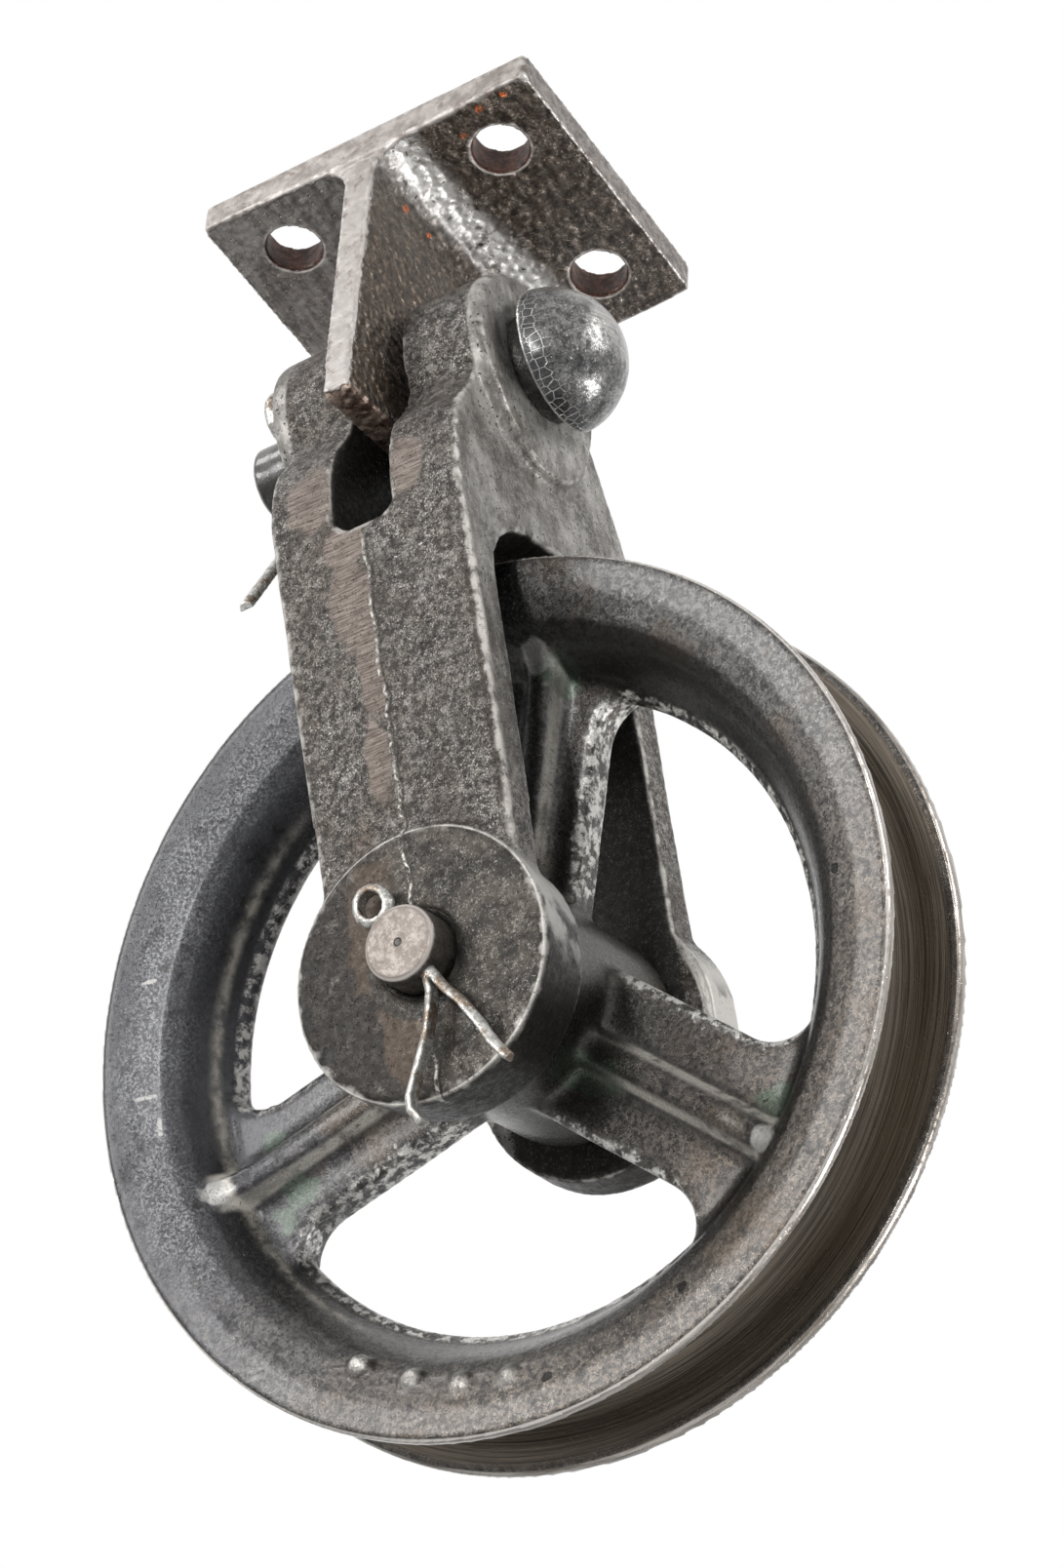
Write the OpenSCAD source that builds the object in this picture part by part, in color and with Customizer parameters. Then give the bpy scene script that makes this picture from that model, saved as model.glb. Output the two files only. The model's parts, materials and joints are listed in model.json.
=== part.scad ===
// Spoked pulley hung from a tee plate: a drilled mounting plate with a tongue,
// a cast yoke that swings on a button headed pin, and a three spoke grooved
// wheel that turns on an axle pin held by a cotter.
//
// Millimetres. Origin at the centre of the plate's top face, +Z up along the
// hanging yoke, -Y towards the cotter side, +X towards the button head. The
// plate is tilted about X, as under a sloping rafter, and the yoke hangs plumb.

/* [Wheel] */
// Outside radius over the flanges (10 inch wheel)
wheel_r = 127; // [120:1:127]
// Half the width over the flanges
wheel_half_w = 23.1; // [21:0.1:24]
// Width of the flat land on each flange edge
flange_land = 4.4; // [3:0.1:6]
// Radius of the rope groove's rounded bottom
groove_r = 17; // [15:0.1:18]
// Radius from the wheel's centre to the groove's bottom
groove_bottom_r = 102.5; // [101:0.5:104]
// Inner radius of the rim at the wheel's middle plane
rim_inner_r = 92.5; // [90:0.1:94]
// Half thickness of the flat web of a spoke
web_half_t = 5.7; // [5:0.1:7]
// How far the web is cast behind the wheel's middle plane
web_back = 2; // [0:0.1:3]
// Half width of the first spoke's web
first_half_w = 16; // [14:0.5:23]
// Half width of the second spoke's web
second_half_w = 19.5; // [16:0.5:23]
// Half width of the third spoke's web
third_half_w = 22.5; // [16:0.5:23]
// Corner radius of the three windows
window_corner_r = 14; // [8:0.5:16]
// Width of the raised rib along each spoke
rib_w = 12; // [8:0.5:14]
// Height of the rib above the middle plane next to the hub
rib_y = 9.2; // [8:0.1:12]
// Height of the rib above the middle plane where it meets the rim
rib_end_y = 15; // [13:0.1:17]
// Angle of the first spoke above +X, seen from the front
spoke_phase = 73; // [60:0.5:90]
// Angle from the first spoke round to the second, and on to the third
spoke_step = 122; // [116:0.5:124]
// Outside radius of the hub
hub_r = 31; // [28:0.5:34]
// Length of the hub in front of the wheel's middle plane
hub_front_l = 26; // [25:0.1:26]
// Length of the hub behind the wheel's middle plane
hub_rear_l = 34.8; // [30:0.1:34.8]

/* [Axle] */
// Radius of the axle pin (7/8 inch pin)
axle_r = 11.1; // [10:0.1:12]
// Length of axle that shows in front of the boss
axle_proud = 9.5; // [9:0.1:12]
// Radius of the axle's rear head
axle_head_r = 17; // [15:0.5:20]
// Thickness of the axle's rear head
axle_head_t = 8; // [6:0.5:10]
// Outside radius of the hub bush
bush_r = 15; // [14:0.1:17]
// Outside radius of the thrust washers
thrust_r = 22; // [19:0.5:25]
// Thickness of each thrust washer
thrust_t = 2.6; // [2:0.1:2.6]

/* [Yoke] */
// Height of the swing pin above the wheel's centre
pin_height = 194.5; // [190:0.5:200]
// Half the distance over the faces of the two arms
arm_out_y = 50.9; // [49:0.1:52]
// Half the distance between the two arms
arm_in_y = 38.1; // [36:0.1:40]
// Half width of the arms and the crown
arm_half_w = 31.7; // [30:0.1:34]
// How far the arms and the crown are cast off centre, towards +X
arm_shift = 2.4; // [0:0.1:3]
// Radius of the round bosses that hold the axle
boss_r = 40; // [37:0.5:42]
// Half the distance over the two bosses
boss_out_y = 52.9; // [52:0.1:54]
// Distance from the wheel's middle plane to the front boss
boss_in_y = 29.2; // [29.2:0.1:30]
// How much the front boss narrows towards its inner face
boss_draft = 2.3; // [0:0.1:3]
// How far the rear boss is cast off centre, towards +X
boss_shift = 1.2; // [0:0.1:2]
// How far the front boss is cast below the axle's centre
boss_drop = 3.2; // [0:0.1:5]
// Height of the arch's top above the wheel's centre
arch_z = 133.5; // [132:0.1:134.5]
// Outside radius of the two ears round the swing pin
ear_r = 31.75; // [29:0.25:34]
// Half the distance over the two ears
ear_out_x = 37; // [36:0.1:37.5]
// How far the two ears are cast off centre, towards +X
ear_shift = 1.2; // [0:0.1:2]
// Half width of the slot between the ears
slot_half_w = 9.7; // [8.5:0.1:11]
// How far the slot is cut off centre, towards +X
slot_shift = 1.5; // [0:0.1:2]
// Height of the slot's floor above the wheel's centre
slot_floor_z = 140.5; // [140:0.1:142]

/* [Swing pin] */
// Radius of the swing pin (1 inch pin)
pin_r = 12.7; // [11:0.1:14]
// Distance of the pin's plain end from the yoke's middle
pin_end_x = 56; // [54:0.5:60]
// Radius of the button head
head_r = 22.5; // [20:0.5:24]
// Height of the button head
head_h = 21; // [15:0.5:22]
// Outside radius of the ring under the head
ring_r = 17.2; // [16:0.1:20]
// Thickness of the ring under the head
ring_t = 6; // [5:0.1:8]

/* [Hanger plate] */
// Size of the plate along X
plate_x = 117; // [110:0.5:125]
// Size of the plate across X
plate_y = 96.2; // [94:0.1:100]
// Thickness of the plate at its left and right edges
plate_t = 10.4; // [9:0.1:12]
// How much thicker the plate is next to the tongue, as in a rolled tee
plate_swell = 1.6; // [0:0.1:3]
// Half the distance between bolt holes along X
hole_x = 37.8; // [36:0.1:40]
// Half the distance between bolt holes across X
hole_y = 28; // [26:0.1:30]
// Radius of the four bolt holes (5/8 inch bolts)
hole_r = 8.7; // [8.3:0.1:9.5]
// Thickness of the tongue at its root
tongue_t = 10.4; // [9:0.1:11]
// Thickness of the tongue at its end
tongue_end_t = 8.8; // [8:0.1:10]
// Length of the tongue's front edge below the plate
tongue_l = 108.6; // [106:0.1:109]
// How much shorter the tongue's rear edge is
tongue_slant = 19; // [0:1:24]
// Depth of the swing pin's axis below the plate's top face
pin_drop = 84; // [82:0.5:86]
// Radius of the fillets between the plate and the tongue
root_r = 11; // [6:0.5:12]
// Tilt of the plate from level
tilt = 19.7; // [5:0.1:22]
// How far the yoke hangs to the left of the plate's middle
yoke_left = 1.3; // [0:0.1:2]

/* [Fits] */
// Radial running clearance round each pin
run_gap = 0.06; // [0.03:0.01:0.1]
// Gap left between neighbouring loose pieces
side_gap = 0.3; // [0.3:0.05:0.5]

/* [Hidden] */

// Where the swing pin and the wheel's centre stand under the tilted plate.
pin_y = -pin_drop * sin(tilt);
pin_z = -pin_drop * cos(tilt);
wheel_z = pin_z - pin_height;
// Cross holes for the cotters, and the round wire that fills them.
cotter_hole_r = 2.4;
cotter_r = 2.15;
axle_cross_y = -(boss_out_y + axle_proud / 2);
axle_cross_a = -61;
pin_cross_x = -50;
// Angles of the three spokes, and of the first one again.
spoke_at = [for (k = [0 : 3]) spoke_phase + min(k * spoke_step, 360)];
web_half_w = [first_half_w, second_half_w, third_half_w, first_half_w];
ring_x = ear_shift + ear_out_x + side_gap;
head_x = ring_x + ring_t + side_gap;
// The crown's shoulders seen from the side, as distance out and height: they
// sweep down from the ears to the arms, and the front one is the fuller.
front_shoulder = [[25, 197], [29.5, 190], [31.6, 183], [33.9, 178.3], [37, 174.6], [40.2, 171.3],
                  [43.8, 167.2], [46.4, 162.6], [48.4, 157.4], [49.6, 151.5], [arm_out_y, 144]];
rear_shoulder = [[25, 197], [30.5, 190.5], [34.2, 185], [36.2, 180.8], [37.8, 176], [39.9, 170],
                 [42.4, 163.8], [44.7, 156.8], [46.7, 148], [48.7, 141], [50.2, 135.5], [arm_out_y, 130]];
iron = [0.42, 0.41, 0.39];
dark = [0.26, 0.26, 0.28];
steel = [0.55, 0.52, 0.48];
bright = [0.72, 0.71, 0.68];

module at_plate() {
    rotate([-tilt, 0, 0])
        children();
}

module at_pin() {
    translate([-yoke_left, pin_y, pin_z])
        children();
}

module at_wheel() {
    translate([-yoke_left, pin_y, wheel_z])
        children();
}

// Turns a solid drawn along Z to lie along Y, its Z end to the front.
module along_y() {
    rotate([90, 0, 0])
        children();
}

// A solid drawn along Z to lie along X.
module along_x() {
    rotate([0, 90, 0])
        children();
}

// Points of an arc about c, from angle a to angle b.
function arc(c, r, a, b, n) =
    [for (k = [0 : n]) c + r * [cos(a + (b - a) * k / n), sin(a + (b - a) * k / n)]];

// Half round wire bent along points given in the XY plane. Its flat face
// follows the points, and its round back is on the left of the way they run.
module half_wire(pts, r) {
    n = len(pts);
    m = 14;
    dirs = [for (i = [0 : n - 2]) (pts[i + 1] - pts[i]) / norm(pts[i + 1] - pts[i])];
    rings = [for (i = [0 : n - 1])
        let (a = dirs[max(i - 1, 0)], b = dirs[min(i, n - 2)], q = a + b, k = 2 / (q * q))
            for (j = [0 : m])
                let (t = -90 + 180 * j / m)
                    [pts[i][0] - k * q[1] * r * cos(t), pts[i][1] + k * q[0] * r * cos(t),
                     r * sin(t)]];
    w = m + 1;
    polyhedron(rings, concat([[for (j = [m : -1 : 0]) j]],
                             [for (i = [0 : n - 2]) for (j = [0 : m])
                                 [i * w + j, i * w + (j + 1) % w, (i + 1) * w + (j + 1) % w,
                                  (i + 1) * w + j]],
                             [[for (j = [0 : m]) (n - 1) * w + j]]));
}

// A length of rolled tee: a plate with four bolt holes, and a tongue with the
// swing pin's bore, whose end is cut at a slant.
module hanger_plate() {
    color(steel)
    at_plate()
    difference() {
        intersection() {
            along_y()
                linear_extrude(height = plate_y, center = true)
                    tee_section();
            translate([0, 0, -plate_t - tongue_l - 1])
                linear_extrude(height = plate_t + tongue_l + 1)
                    rounded(plate_x, plate_y, 2);
            along_x()
                linear_extrude(height = plate_x, center = true)
                    tongue_side();
        }
        for (x = [-hole_x, hole_x])
            for (y = [-hole_y, hole_y])
                translate([x, y, -plate_t - plate_swell - 1])
                    cylinder(h = plate_t + plate_swell + 2, r = hole_r, $fn = 96);
        translate([0, 0, -pin_drop])
            along_x()
                cylinder(h = 40, r = pin_r + run_gap, center = true, $fn = 96);
    }
}

// Section of the rolled tee, whose flange and stem both thin towards their ends.
module tee_section() {
    x = tongue_t / 2 + root_r;
    z = plate_t + plate_swell;
    e = plate_t + tongue_l;
    half = concat([[plate_x / 2, 0], [plate_x / 2, -plate_t]],
                  arc([x, -z - root_r], root_r, 90, 180, 10),
                  [[tongue_end_t / 2, -e]]);
    polygon(concat(half, [for (k = [len(half) - 1 : -1 : 0]) [-half[k][0], half[k][1]]]));
}

// The tee seen from the side, drawn with X down and Y to the rear: it limits the
// tongue, whose front corner hangs lowest.
module tongue_side() {
    e = plate_t + tongue_l;
    w = plate_y / 2;
    polygon([[-1, -w - 1], [plate_t + plate_swell + 1, -w - 1], [plate_t + plate_swell + 1, -w + 0.5],
             [e - 2, -w + 0.5], [e - 0.6, -w + 2.5], [e - tongue_slant + 0.6, w - 2.5],
             [e - tongue_slant - 2, w - 0.5], [plate_t + plate_swell + 1, w - 0.5],
             [plate_t + plate_swell + 1, w + 1], [-1, w + 1]]);
}

// Rectangle centred on the origin, with round corners.
module rounded(w, d, r) {
    difference() {
        square([w, d], center = true);
        for (sx = [-1, 1])
            for (sy = [-1, 1])
                scale([sx, sy])
                    difference() {
                        translate([w / 2 - r, d / 2 - r])
                            square([r + 1, r + 1]);
                        translate([w / 2 - r, d / 2 - r])
                            circle(r = r, $fn = 48);
                    }
    }
}

// Cast fork: two ears with a slot between them, a crown with an arch under it,
// two flat arms, and a round boss at the foot of each arm.
module yoke_frame() {
    color(iron)
    at_wheel()
    difference() {
        union() {
            difference() {
                intersection() {
                    along_x()
                        linear_extrude(height = 90, center = true)
                            union() {
                                yoke_side(rear_shoulder);
                                scale([1, -1])
                                    yoke_side(front_shoulder);
                            }
                    along_y()
                        linear_extrude(height = 120, center = true)
                            yoke_front();
                }
                translate([0, 60, 0])
                    along_y()
                        linear_extrude(height = 40)
                            polygon([[40, 134], [arm_shift + arm_half_w + 0.1, 132], [32.3, 104], [32.3, -1],
                                     [40, -1]]);
            }
            for (s = [-1, 1])
                translate([ear_shift, 0, pin_height])
                    scale([s, 1, 1])
                        along_x()
                            ear(ear_r, 2.2);
            translate([ear_shift, 0, pin_height - 10])
                along_x()
                    ear(27, 1.5);
            translate([0, 0, -boss_drop])
                along_y()
                    boss(boss_in_y, boss_draft);
            translate([boss_shift, 0, 0])
                scale([1, -1, 1])
                    along_y()
                        boss(arm_in_y, 0.5);
        }
        slot();
        along_y()
            cylinder(h = 150, r = axle_r + run_gap, center = true, $fn = 96);
        along_y()
            translate([0, 0, boss_out_y - 2.6])
                cylinder(h = 5.2, r1 = axle_r, r2 = axle_r + 5.2, $fn = 96);
        translate([0, 0, pin_height])
            along_x()
                cylinder(h = 120, r = pin_r + run_gap, center = true, $fn = 96);
    }
}

// Half of the yoke seen from the side, drawn with X down and Y outwards.
module yoke_side(shoulder) {
    o = arm_out_y;
    i = arm_in_y;
    outline = concat([[0, 206]], shoulder,
                     [[o, 0], [i, 0], [i, arch_z - 25], [i - 1.6, arch_z - 15.5], [i - 6.5, arch_z - 8],
                      [i - 14, arch_z - 2.6], [i - 24, arch_z], [0, arch_z]]);
    polygon([for (p = outline) [-p[1], p[0]]]);
}

// Outline of the crown and the arms seen from the front. They are cast a little
// off centre, and narrow towards the bosses.
module yoke_front() {
    l = arm_shift - arm_half_w;
    r = arm_shift + arm_half_w;
    polygon([[l - 0.3, 210], [l - 0.3, 130], [l, 90], [l + 0.8, 44], [l + 0.9, 0], [r - 0.9, 0],
             [r - 0.7, 30], [r, 90], [r, 210]]);
}

// One ear, or the lobe under the right one: a thick disc with a round outer edge.
module ear(r, edge) {
    rotate_extrude($fn = 128)
        polygon(concat([[0, slot_half_w - 2], [r, slot_half_w - 2]],
                       arc([r - edge, ear_out_x - edge], edge, 0, 90, 6), [[0, ear_out_x]]));
}

// Boss at the foot of an arm, from its inner face out to its rounded edge.
module boss(inner, draft) {
    rotate_extrude($fn = 128)
        polygon(concat([[0, inner], [boss_r - draft, inner]],
                       arc([boss_r - 1.5, boss_out_y - 1.5], 1.5, 0, 90, 6), [[0, boss_out_y]]));
}

// Slot for the tongue: its floor is level in the middle and drops to both faces.
module slot() {
    f = slot_floor_z;
    translate([slot_shift, 0, 0])
        intersection() {
            along_x()
                linear_extrude(height = 2 * slot_half_w, center = true)
                    polygon([[-f, -18], [-f, 18], [7 - f, 70], [-300, 70], [-300, -70], [7 - f, -70]]);
            along_y()
                linear_extrude(height = 150, center = true)
                    slot_section(f - 4.8, 8);
        }
}

// Cross section of the slot, with its bottom corners broken in four flats.
module slot_section(z, r) {
    w = slot_half_w + 1;
    polygon(concat(arc([w - r, z + r], r, -90, -10, 4), [[w, 290], [-w, 290]],
                   arc([-w + r, z + r], r, 190, 270, 4)));
}

// Swing pin with a domed button head at +X and a cross hole at its plain end.
module pivot_pin() {
    color(dark)
    at_pin()
    difference() {
        union() {
            translate([-pin_end_x + 1.5, 0, 0])
                along_x()
                    cylinder(h = pin_end_x - 1.5 + head_x + 1, r = pin_r, $fn = 96);
            translate([-pin_end_x, 0, 0])
                along_x()
                    cylinder(h = 1.5, r1 = pin_r - 1.5, r2 = pin_r, $fn = 96);
            translate([head_x, 0, 0])
                along_x()
                    button_head();
        }
        translate([pin_cross_x, 0, 0])
            cylinder(h = 40, r = cotter_hole_r, center = true, $fn = 48);
    }
}

// Dome that rises from a thin straight edge.
module button_head() {
    cap = head_h - 0.8;
    r = (head_r * head_r + cap * cap) / (2 * cap);
    cylinder(h = 0.8, r = head_r, $fn = 128);
    rotate_extrude($fn = 128)
        intersection() {
            translate([0, 0.8 + cap - r])
                circle(r = r, $fn = 160);
            translate([0, 0.4])
                square([head_r, head_h]);
        }
}

// Loose thick ring between the right ear and the button head.
module pivot_washer() {
    color(dark)
    at_pin()
        translate([ring_x, 0, 0])
            along_x()
                difference() {
                    cylinder(h = ring_t, r = ring_r, $fn = 96);
                    translate([0, 0, -1])
                        cylinder(h = ring_t + 2, r = pin_r + 0.3, $fn = 96);
                }
}

// Split cotter through the swing pin: an eye on top and two legs splayed below.
module pivot_cotter() {
    color(bright)
    at_pin()
        translate([pin_cross_x, 0, 0])
            rotate([90, 0, 90])
                split_cotter([[-34.6, -58.4], [-7.5, -28.2], [-3.2, -23.6], [-0.8, -19.8], [0, -16.6]],
                             [[0, -17], [0.4, -20.5], [2.4, -24.5], [7, -30], [20, -43]],
                             pin_r + 3.4, 5.4);
}

// Split cotter through the axle: one leg hangs down, the other is pulled aside.
module axle_cotter() {
    color(bright)
    at_wheel()
        translate([0, axle_cross_y, 0])
            along_y()
                rotate([0, 0, 90 + axle_cross_a])
                    split_cotter([for (p = [[-1.8, -50.5], [-4.6, -45.8], [-4.4, -42.6], [-1.2, -36.2],
                                            [2.6, -28.6], [5.2, -20.6], [6.3, -15.2]])
                                      across(p)],
                                 [for (p = [[7.5, -13.6], [9.6, -17], [13.6, -22], [17.8, -29.4],
                                            [21.2, -36.6], [25, -42.2]])
                                      across(p)], axle_r + 1.9, 3.9);
}

// A point seen from the front, turned into the axle cotter's own directions.
function across(p) =
    let (a = -90 - axle_cross_a)
        [p[0] * cos(a) - p[1] * sin(a), p[0] * sin(a) + p[1] * cos(a)];

// A cotter drawn in the XY plane, folded from one half round wire: up the left
// leg, round a pear shaped eye of half width e that stands eye_y above the pin's
// axis, and down the right leg.
module split_cotter(left, right, eye_y, e) {
    half_wire(concat([for (p = left) p - [0.03, 0]], [[-0.03, -12], [-0.03, eye_y]],
                     [for (k = [1 : 11]) [-e * sin(30 * k), eye_y + 1.2 * e * (1 - cos(30 * k))]],
                     [[0.03, eye_y], [0.03, -12]], [for (p = right) p + [0.03, 0]]), cotter_r);
}

// Grooved wheel: rim, three flat spokes with a rib on both sides, and the hub.
module sheave_wheel() {
    color(dark)
    at_wheel()
    along_y()
    difference() {
        union() {
            rotate_extrude($fn = 256)
                rim_section();
            difference() {
                translate([0, 0, -web_half_t - web_back])
                    cylinder(h = 2 * web_half_t, r = rim_inner_r + 6.5, $fn = 256);
                for (k = [0 : 2])
                    rotate([0, 0, (spoke_at[k] + spoke_at[k + 1]) / 2])
                        linear_extrude(height = 40, center = true)
                            window((spoke_at[k + 1] - spoke_at[k]) / 2, web_half_w[k],
                                   web_half_w[k + 1]);
            }
            for (k = [0 : 2])
                rotate([0, 0, spoke_at[k]])
                    rib();
            translate([0, 0, -hub_rear_l])
                cylinder(h = hub_rear_l + hub_front_l, r = hub_r, $fn = 128);
        }
        cylinder(h = 100, r = bush_r, center = true, $fn = 96);
    }
}

// Half section of the rim: rope groove outside, hollow sweep inside, whose
// narrowest place lies in the web's own middle plane.
module rim_section() {
    w = wheel_half_w;
    b = web_back;
    c = groove_bottom_r + groove_r;
    inside = [[wheel_r, w], [wheel_r - 10, w - 1.4], [wheel_r - 18.6, w - 4.2], [wheel_r - 23, w - 7.6],
              [wheel_r - 25.8, w - 11], [wheel_r - 28, w - 14.6]];
    throat = [[rim_inner_r + 3.2, 4.2 - b], [rim_inner_r + 0.6, 1.8 - b], [rim_inner_r, 0.9 - b],
              [rim_inner_r, -0.9 - b], [rim_inner_r + 0.6, -1.8 - b], [rim_inner_r + 3, -4.2 - b]];
    difference() {
        polygon(concat(inside, throat,
                       [for (k = [len(inside) - 1 : -1 : 0]) [inside[k][0], -inside[k][1]]]));
        translate([c, 0])
            circle(r = groove_r, $fn = 128);
        polygon([[c, -groove_r], [c, groove_r], [wheel_r, w - flange_land], [wheel_r + 2, w - flange_land],
                 [wheel_r + 2, -w + flange_land], [wheel_r, -w + flange_land]]);
    }
}

// One window with round corners, between a spoke of half width a at -half and one
// of half width b at half. It reaches into the rim, whose own section gives the
// window its outer edge.
module window(half, a, b) {
    r = window_corner_r;
    w = rim_inner_r + 5;
    o = w - r;
    f = half - asin((a + r) / o);
    g = half - asin((b + r) / o);
    corner = [(a + b + 2 * r) / (2 * sin(half)), (a - b) / (2 * cos(half))];
    polygon(concat(arc(corner, r, 270 - half, 90 + half, 6),
                   arc(o * [cos(g), sin(g)], r, 90 + half, g, 10),
                   arc([0, 0], w, g, -f, 16),
                   arc(o * [cos(f), -sin(f)], r, -f, -90 - half, 10)));
}

// Rib along one spoke, on both sides of the web, rising towards the rim. Its
// sides slope, so it is narrower at the top than at its foot.
module rib() {
    intersection() {
        along_y()
            linear_extrude(height = rib_w, center = true)
                polygon([[20, -rib_y], [72, -rib_y], [92, -rib_end_y + 3.6], [106, -rib_end_y - 0.6],
                         [106, -12], [99, -3], [99, 3], [106, 12], [106, rib_end_y + 0.6],
                         [92, rib_end_y - 3.6], [72, rib_y], [20, rib_y]]);
        along_x()
            linear_extrude(height = 110)
                rib_section();
    }
}

// Cross section of a rib, drawn with X through the wheel and Y across the spoke.
module rib_section() {
    f = rib_w / 2;
    e = rib_end_y + 2;
    i = web_half_t - web_back - 0.6;
    polygon([[i, f], [rib_y, f - 1.6], [e, f - 2.6], [e, -f + 2.6], [rib_y, -f + 1.6],
             [i, -f], [-i, -f], [-rib_y, -f + 1.6], [-e, -f + 2.6],
             [-e, f - 2.6], [-rib_y, f - 1.6], [-i, f]]);
}

// Plain bush pressed into the hub.
module hub_bush() {
    color([0.6, 0.45, 0.25])
    at_wheel()
        along_y()
            difference() {
                translate([0, 0, -hub_rear_l])
                    cylinder(h = hub_rear_l + hub_front_l, r = bush_r, $fn = 96);
                cylinder(h = 100, r = axle_r + run_gap, center = true, $fn = 96);
            }
}

// A thrust washer, drawn along Z from its inner face.
module thrust_washer() {
    difference() {
        cylinder(h = thrust_t, r = thrust_r, $fn = 96);
        translate([0, 0, -1])
            cylinder(h = thrust_t + 2, r = axle_r + 0.3, $fn = 96);
    }
}

// Washer between the hub and the front boss.
module thrust_washer_front() {
    color(steel)
    at_wheel()
        along_y()
            translate([0, 0, hub_front_l + side_gap])
                thrust_washer();
}

// Washer between the hub and the rear boss.
module thrust_washer_rear() {
    color(steel)
    at_wheel()
        scale([1, -1, 1])
            along_y()
                translate([0, 0, hub_rear_l + side_gap])
                    thrust_washer();
}

// Axle pin with a flat head behind the rear boss and a cross hole in front.
module axle_pin() {
    tip = boss_out_y + axle_proud;
    color(steel)
    at_wheel()
    difference() {
        along_y()
            union() {
                translate([0, 0, -boss_out_y - 1])
                    cylinder(h = boss_out_y + tip, r = axle_r, $fn = 96);
                translate([0, 0, tip - 1])
                    cylinder(h = 1, r1 = axle_r, r2 = axle_r - 1, $fn = 96);
                translate([0, 0, -boss_out_y - side_gap - axle_head_t])
                    cylinder(h = axle_head_t, r = axle_head_r, $fn = 96);
            }
        translate([0, axle_cross_y, 0])
            rotate([0, 90 - axle_cross_a, 0])
                cylinder(h = 40, r = cotter_hole_r, center = true, $fn = 48);
    }
}

hanger_plate();
yoke_frame();
pivot_pin();
pivot_washer();
pivot_cotter();
sheave_wheel();
hub_bush();
thrust_washer_front();
thrust_washer_rear();
axle_pin();
axle_cotter();
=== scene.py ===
import json
import math

import bmesh
import bpy
from mathutils import Matrix, Vector


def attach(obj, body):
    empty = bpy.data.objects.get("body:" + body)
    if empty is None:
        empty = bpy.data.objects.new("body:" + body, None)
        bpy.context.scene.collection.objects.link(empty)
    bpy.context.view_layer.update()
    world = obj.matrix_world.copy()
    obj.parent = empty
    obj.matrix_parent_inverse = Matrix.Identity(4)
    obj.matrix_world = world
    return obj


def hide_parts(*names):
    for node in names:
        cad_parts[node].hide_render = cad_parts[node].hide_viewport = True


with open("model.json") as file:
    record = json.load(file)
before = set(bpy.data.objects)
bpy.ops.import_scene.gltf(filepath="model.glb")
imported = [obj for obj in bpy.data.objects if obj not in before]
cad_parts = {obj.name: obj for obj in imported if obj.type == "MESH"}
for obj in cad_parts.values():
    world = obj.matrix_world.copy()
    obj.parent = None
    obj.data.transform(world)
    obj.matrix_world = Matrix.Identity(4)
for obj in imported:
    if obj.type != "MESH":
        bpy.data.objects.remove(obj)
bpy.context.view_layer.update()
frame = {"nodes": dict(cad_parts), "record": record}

# Where the photograph was taken from: low, in front and to the right of the
# wheel, looking up at the hanging block with the camera turned a little.
joints = {joint["name"]: joint for joint in frame["record"]["behaviour"]["joints"]}
wheel_centre = Vector(joints["sheave_spin"]["pos_m"])
swing_centre = Vector(joints["yoke_swing"]["pos_m"])

camera_place = wheel_centre + Vector((0.56084, -1.04513, -0.54091))
camera_heading = math.radians(-27.586)
camera_rise = math.radians(27.217)
camera_roll = math.radians(-9.0)

look = Vector((math.sin(camera_heading) * math.cos(camera_rise),
               math.cos(camera_heading) * math.cos(camera_rise),
               math.sin(camera_rise)))
level = look.cross(Vector((0, 0, 1))).normalized()
upright = level.cross(look)
right = level * math.cos(camera_roll) + upright * math.sin(camera_roll)
up = right.cross(look)
lens = bpy.data.cameras.new("photo_camera")
lens.lens = 107.53
lens.clip_end = 20
camera = bpy.data.objects.new("photo_camera", lens)
camera.matrix_world = Matrix.Translation(camera_place) @ Matrix((right, up, -look)).transposed().to_4x4()
bpy.context.collection.objects.link(camera)
bpy.context.scene.camera = camera
bpy.context.scene.view_settings.view_transform = "Standard"

# The studio: a white world, a pale floor well below the hanging block, and
# large soft lamps. The white backdrop shows to the camera and in reflections.

FLOOR_DROP = 0.45
FLOOR_HALF = 6


def put(tree, kind, inputs=None, **settings):
    """Adds a node to a tree, with its settings, and its sockets set or linked."""
    node = tree.nodes.new(kind)
    for key, value in settings.items():
        setattr(node, key, value)
    for key, value in (inputs or {}).items():
        if isinstance(value, bpy.types.NodeSocket):
            tree.links.new(value, node.inputs[key])
        else:
            node.inputs[key].default_value = value
    return node


def sums(tree, operation, first, second=0.0):
    """One step of arithmetic on one or two values or sockets."""
    return put(tree, "ShaderNodeMath", {0: first, 1: second}, operation=operation).outputs[0]


def plus(tree, first, second):
    """Two values added."""
    return sums(tree, "ADD", first, second)


def minus(tree, first, second):
    """The second value taken from the first."""
    return sums(tree, "SUBTRACT", first, second)


def times(tree, *values):
    """The product of several values or sockets."""
    product = values[0]
    for value in values[1:]:
        product = sums(tree, "MULTIPLY", product, value)
    return product


def largest(tree, *values):
    """The largest of several values or sockets."""
    top = values[0]
    for value in values[1:]:
        top = sums(tree, "MAXIMUM", top, value)
    return top


def lamp(name, place, target, width, height, watts):
    """A soft rectangular lamp that faces a target."""
    data = bpy.data.lights.new(name, "AREA")
    data.shape = "RECTANGLE"
    data.size = width
    data.size_y = height
    data.energy = watts
    light = bpy.data.objects.new(name, data)
    aim = (Vector(target) - Vector(place)).to_track_quat("-Z", "Y")
    light.matrix_world = Matrix.Translation(place) @ aim.to_matrix().to_4x4()
    bpy.context.collection.objects.link(light)


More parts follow.
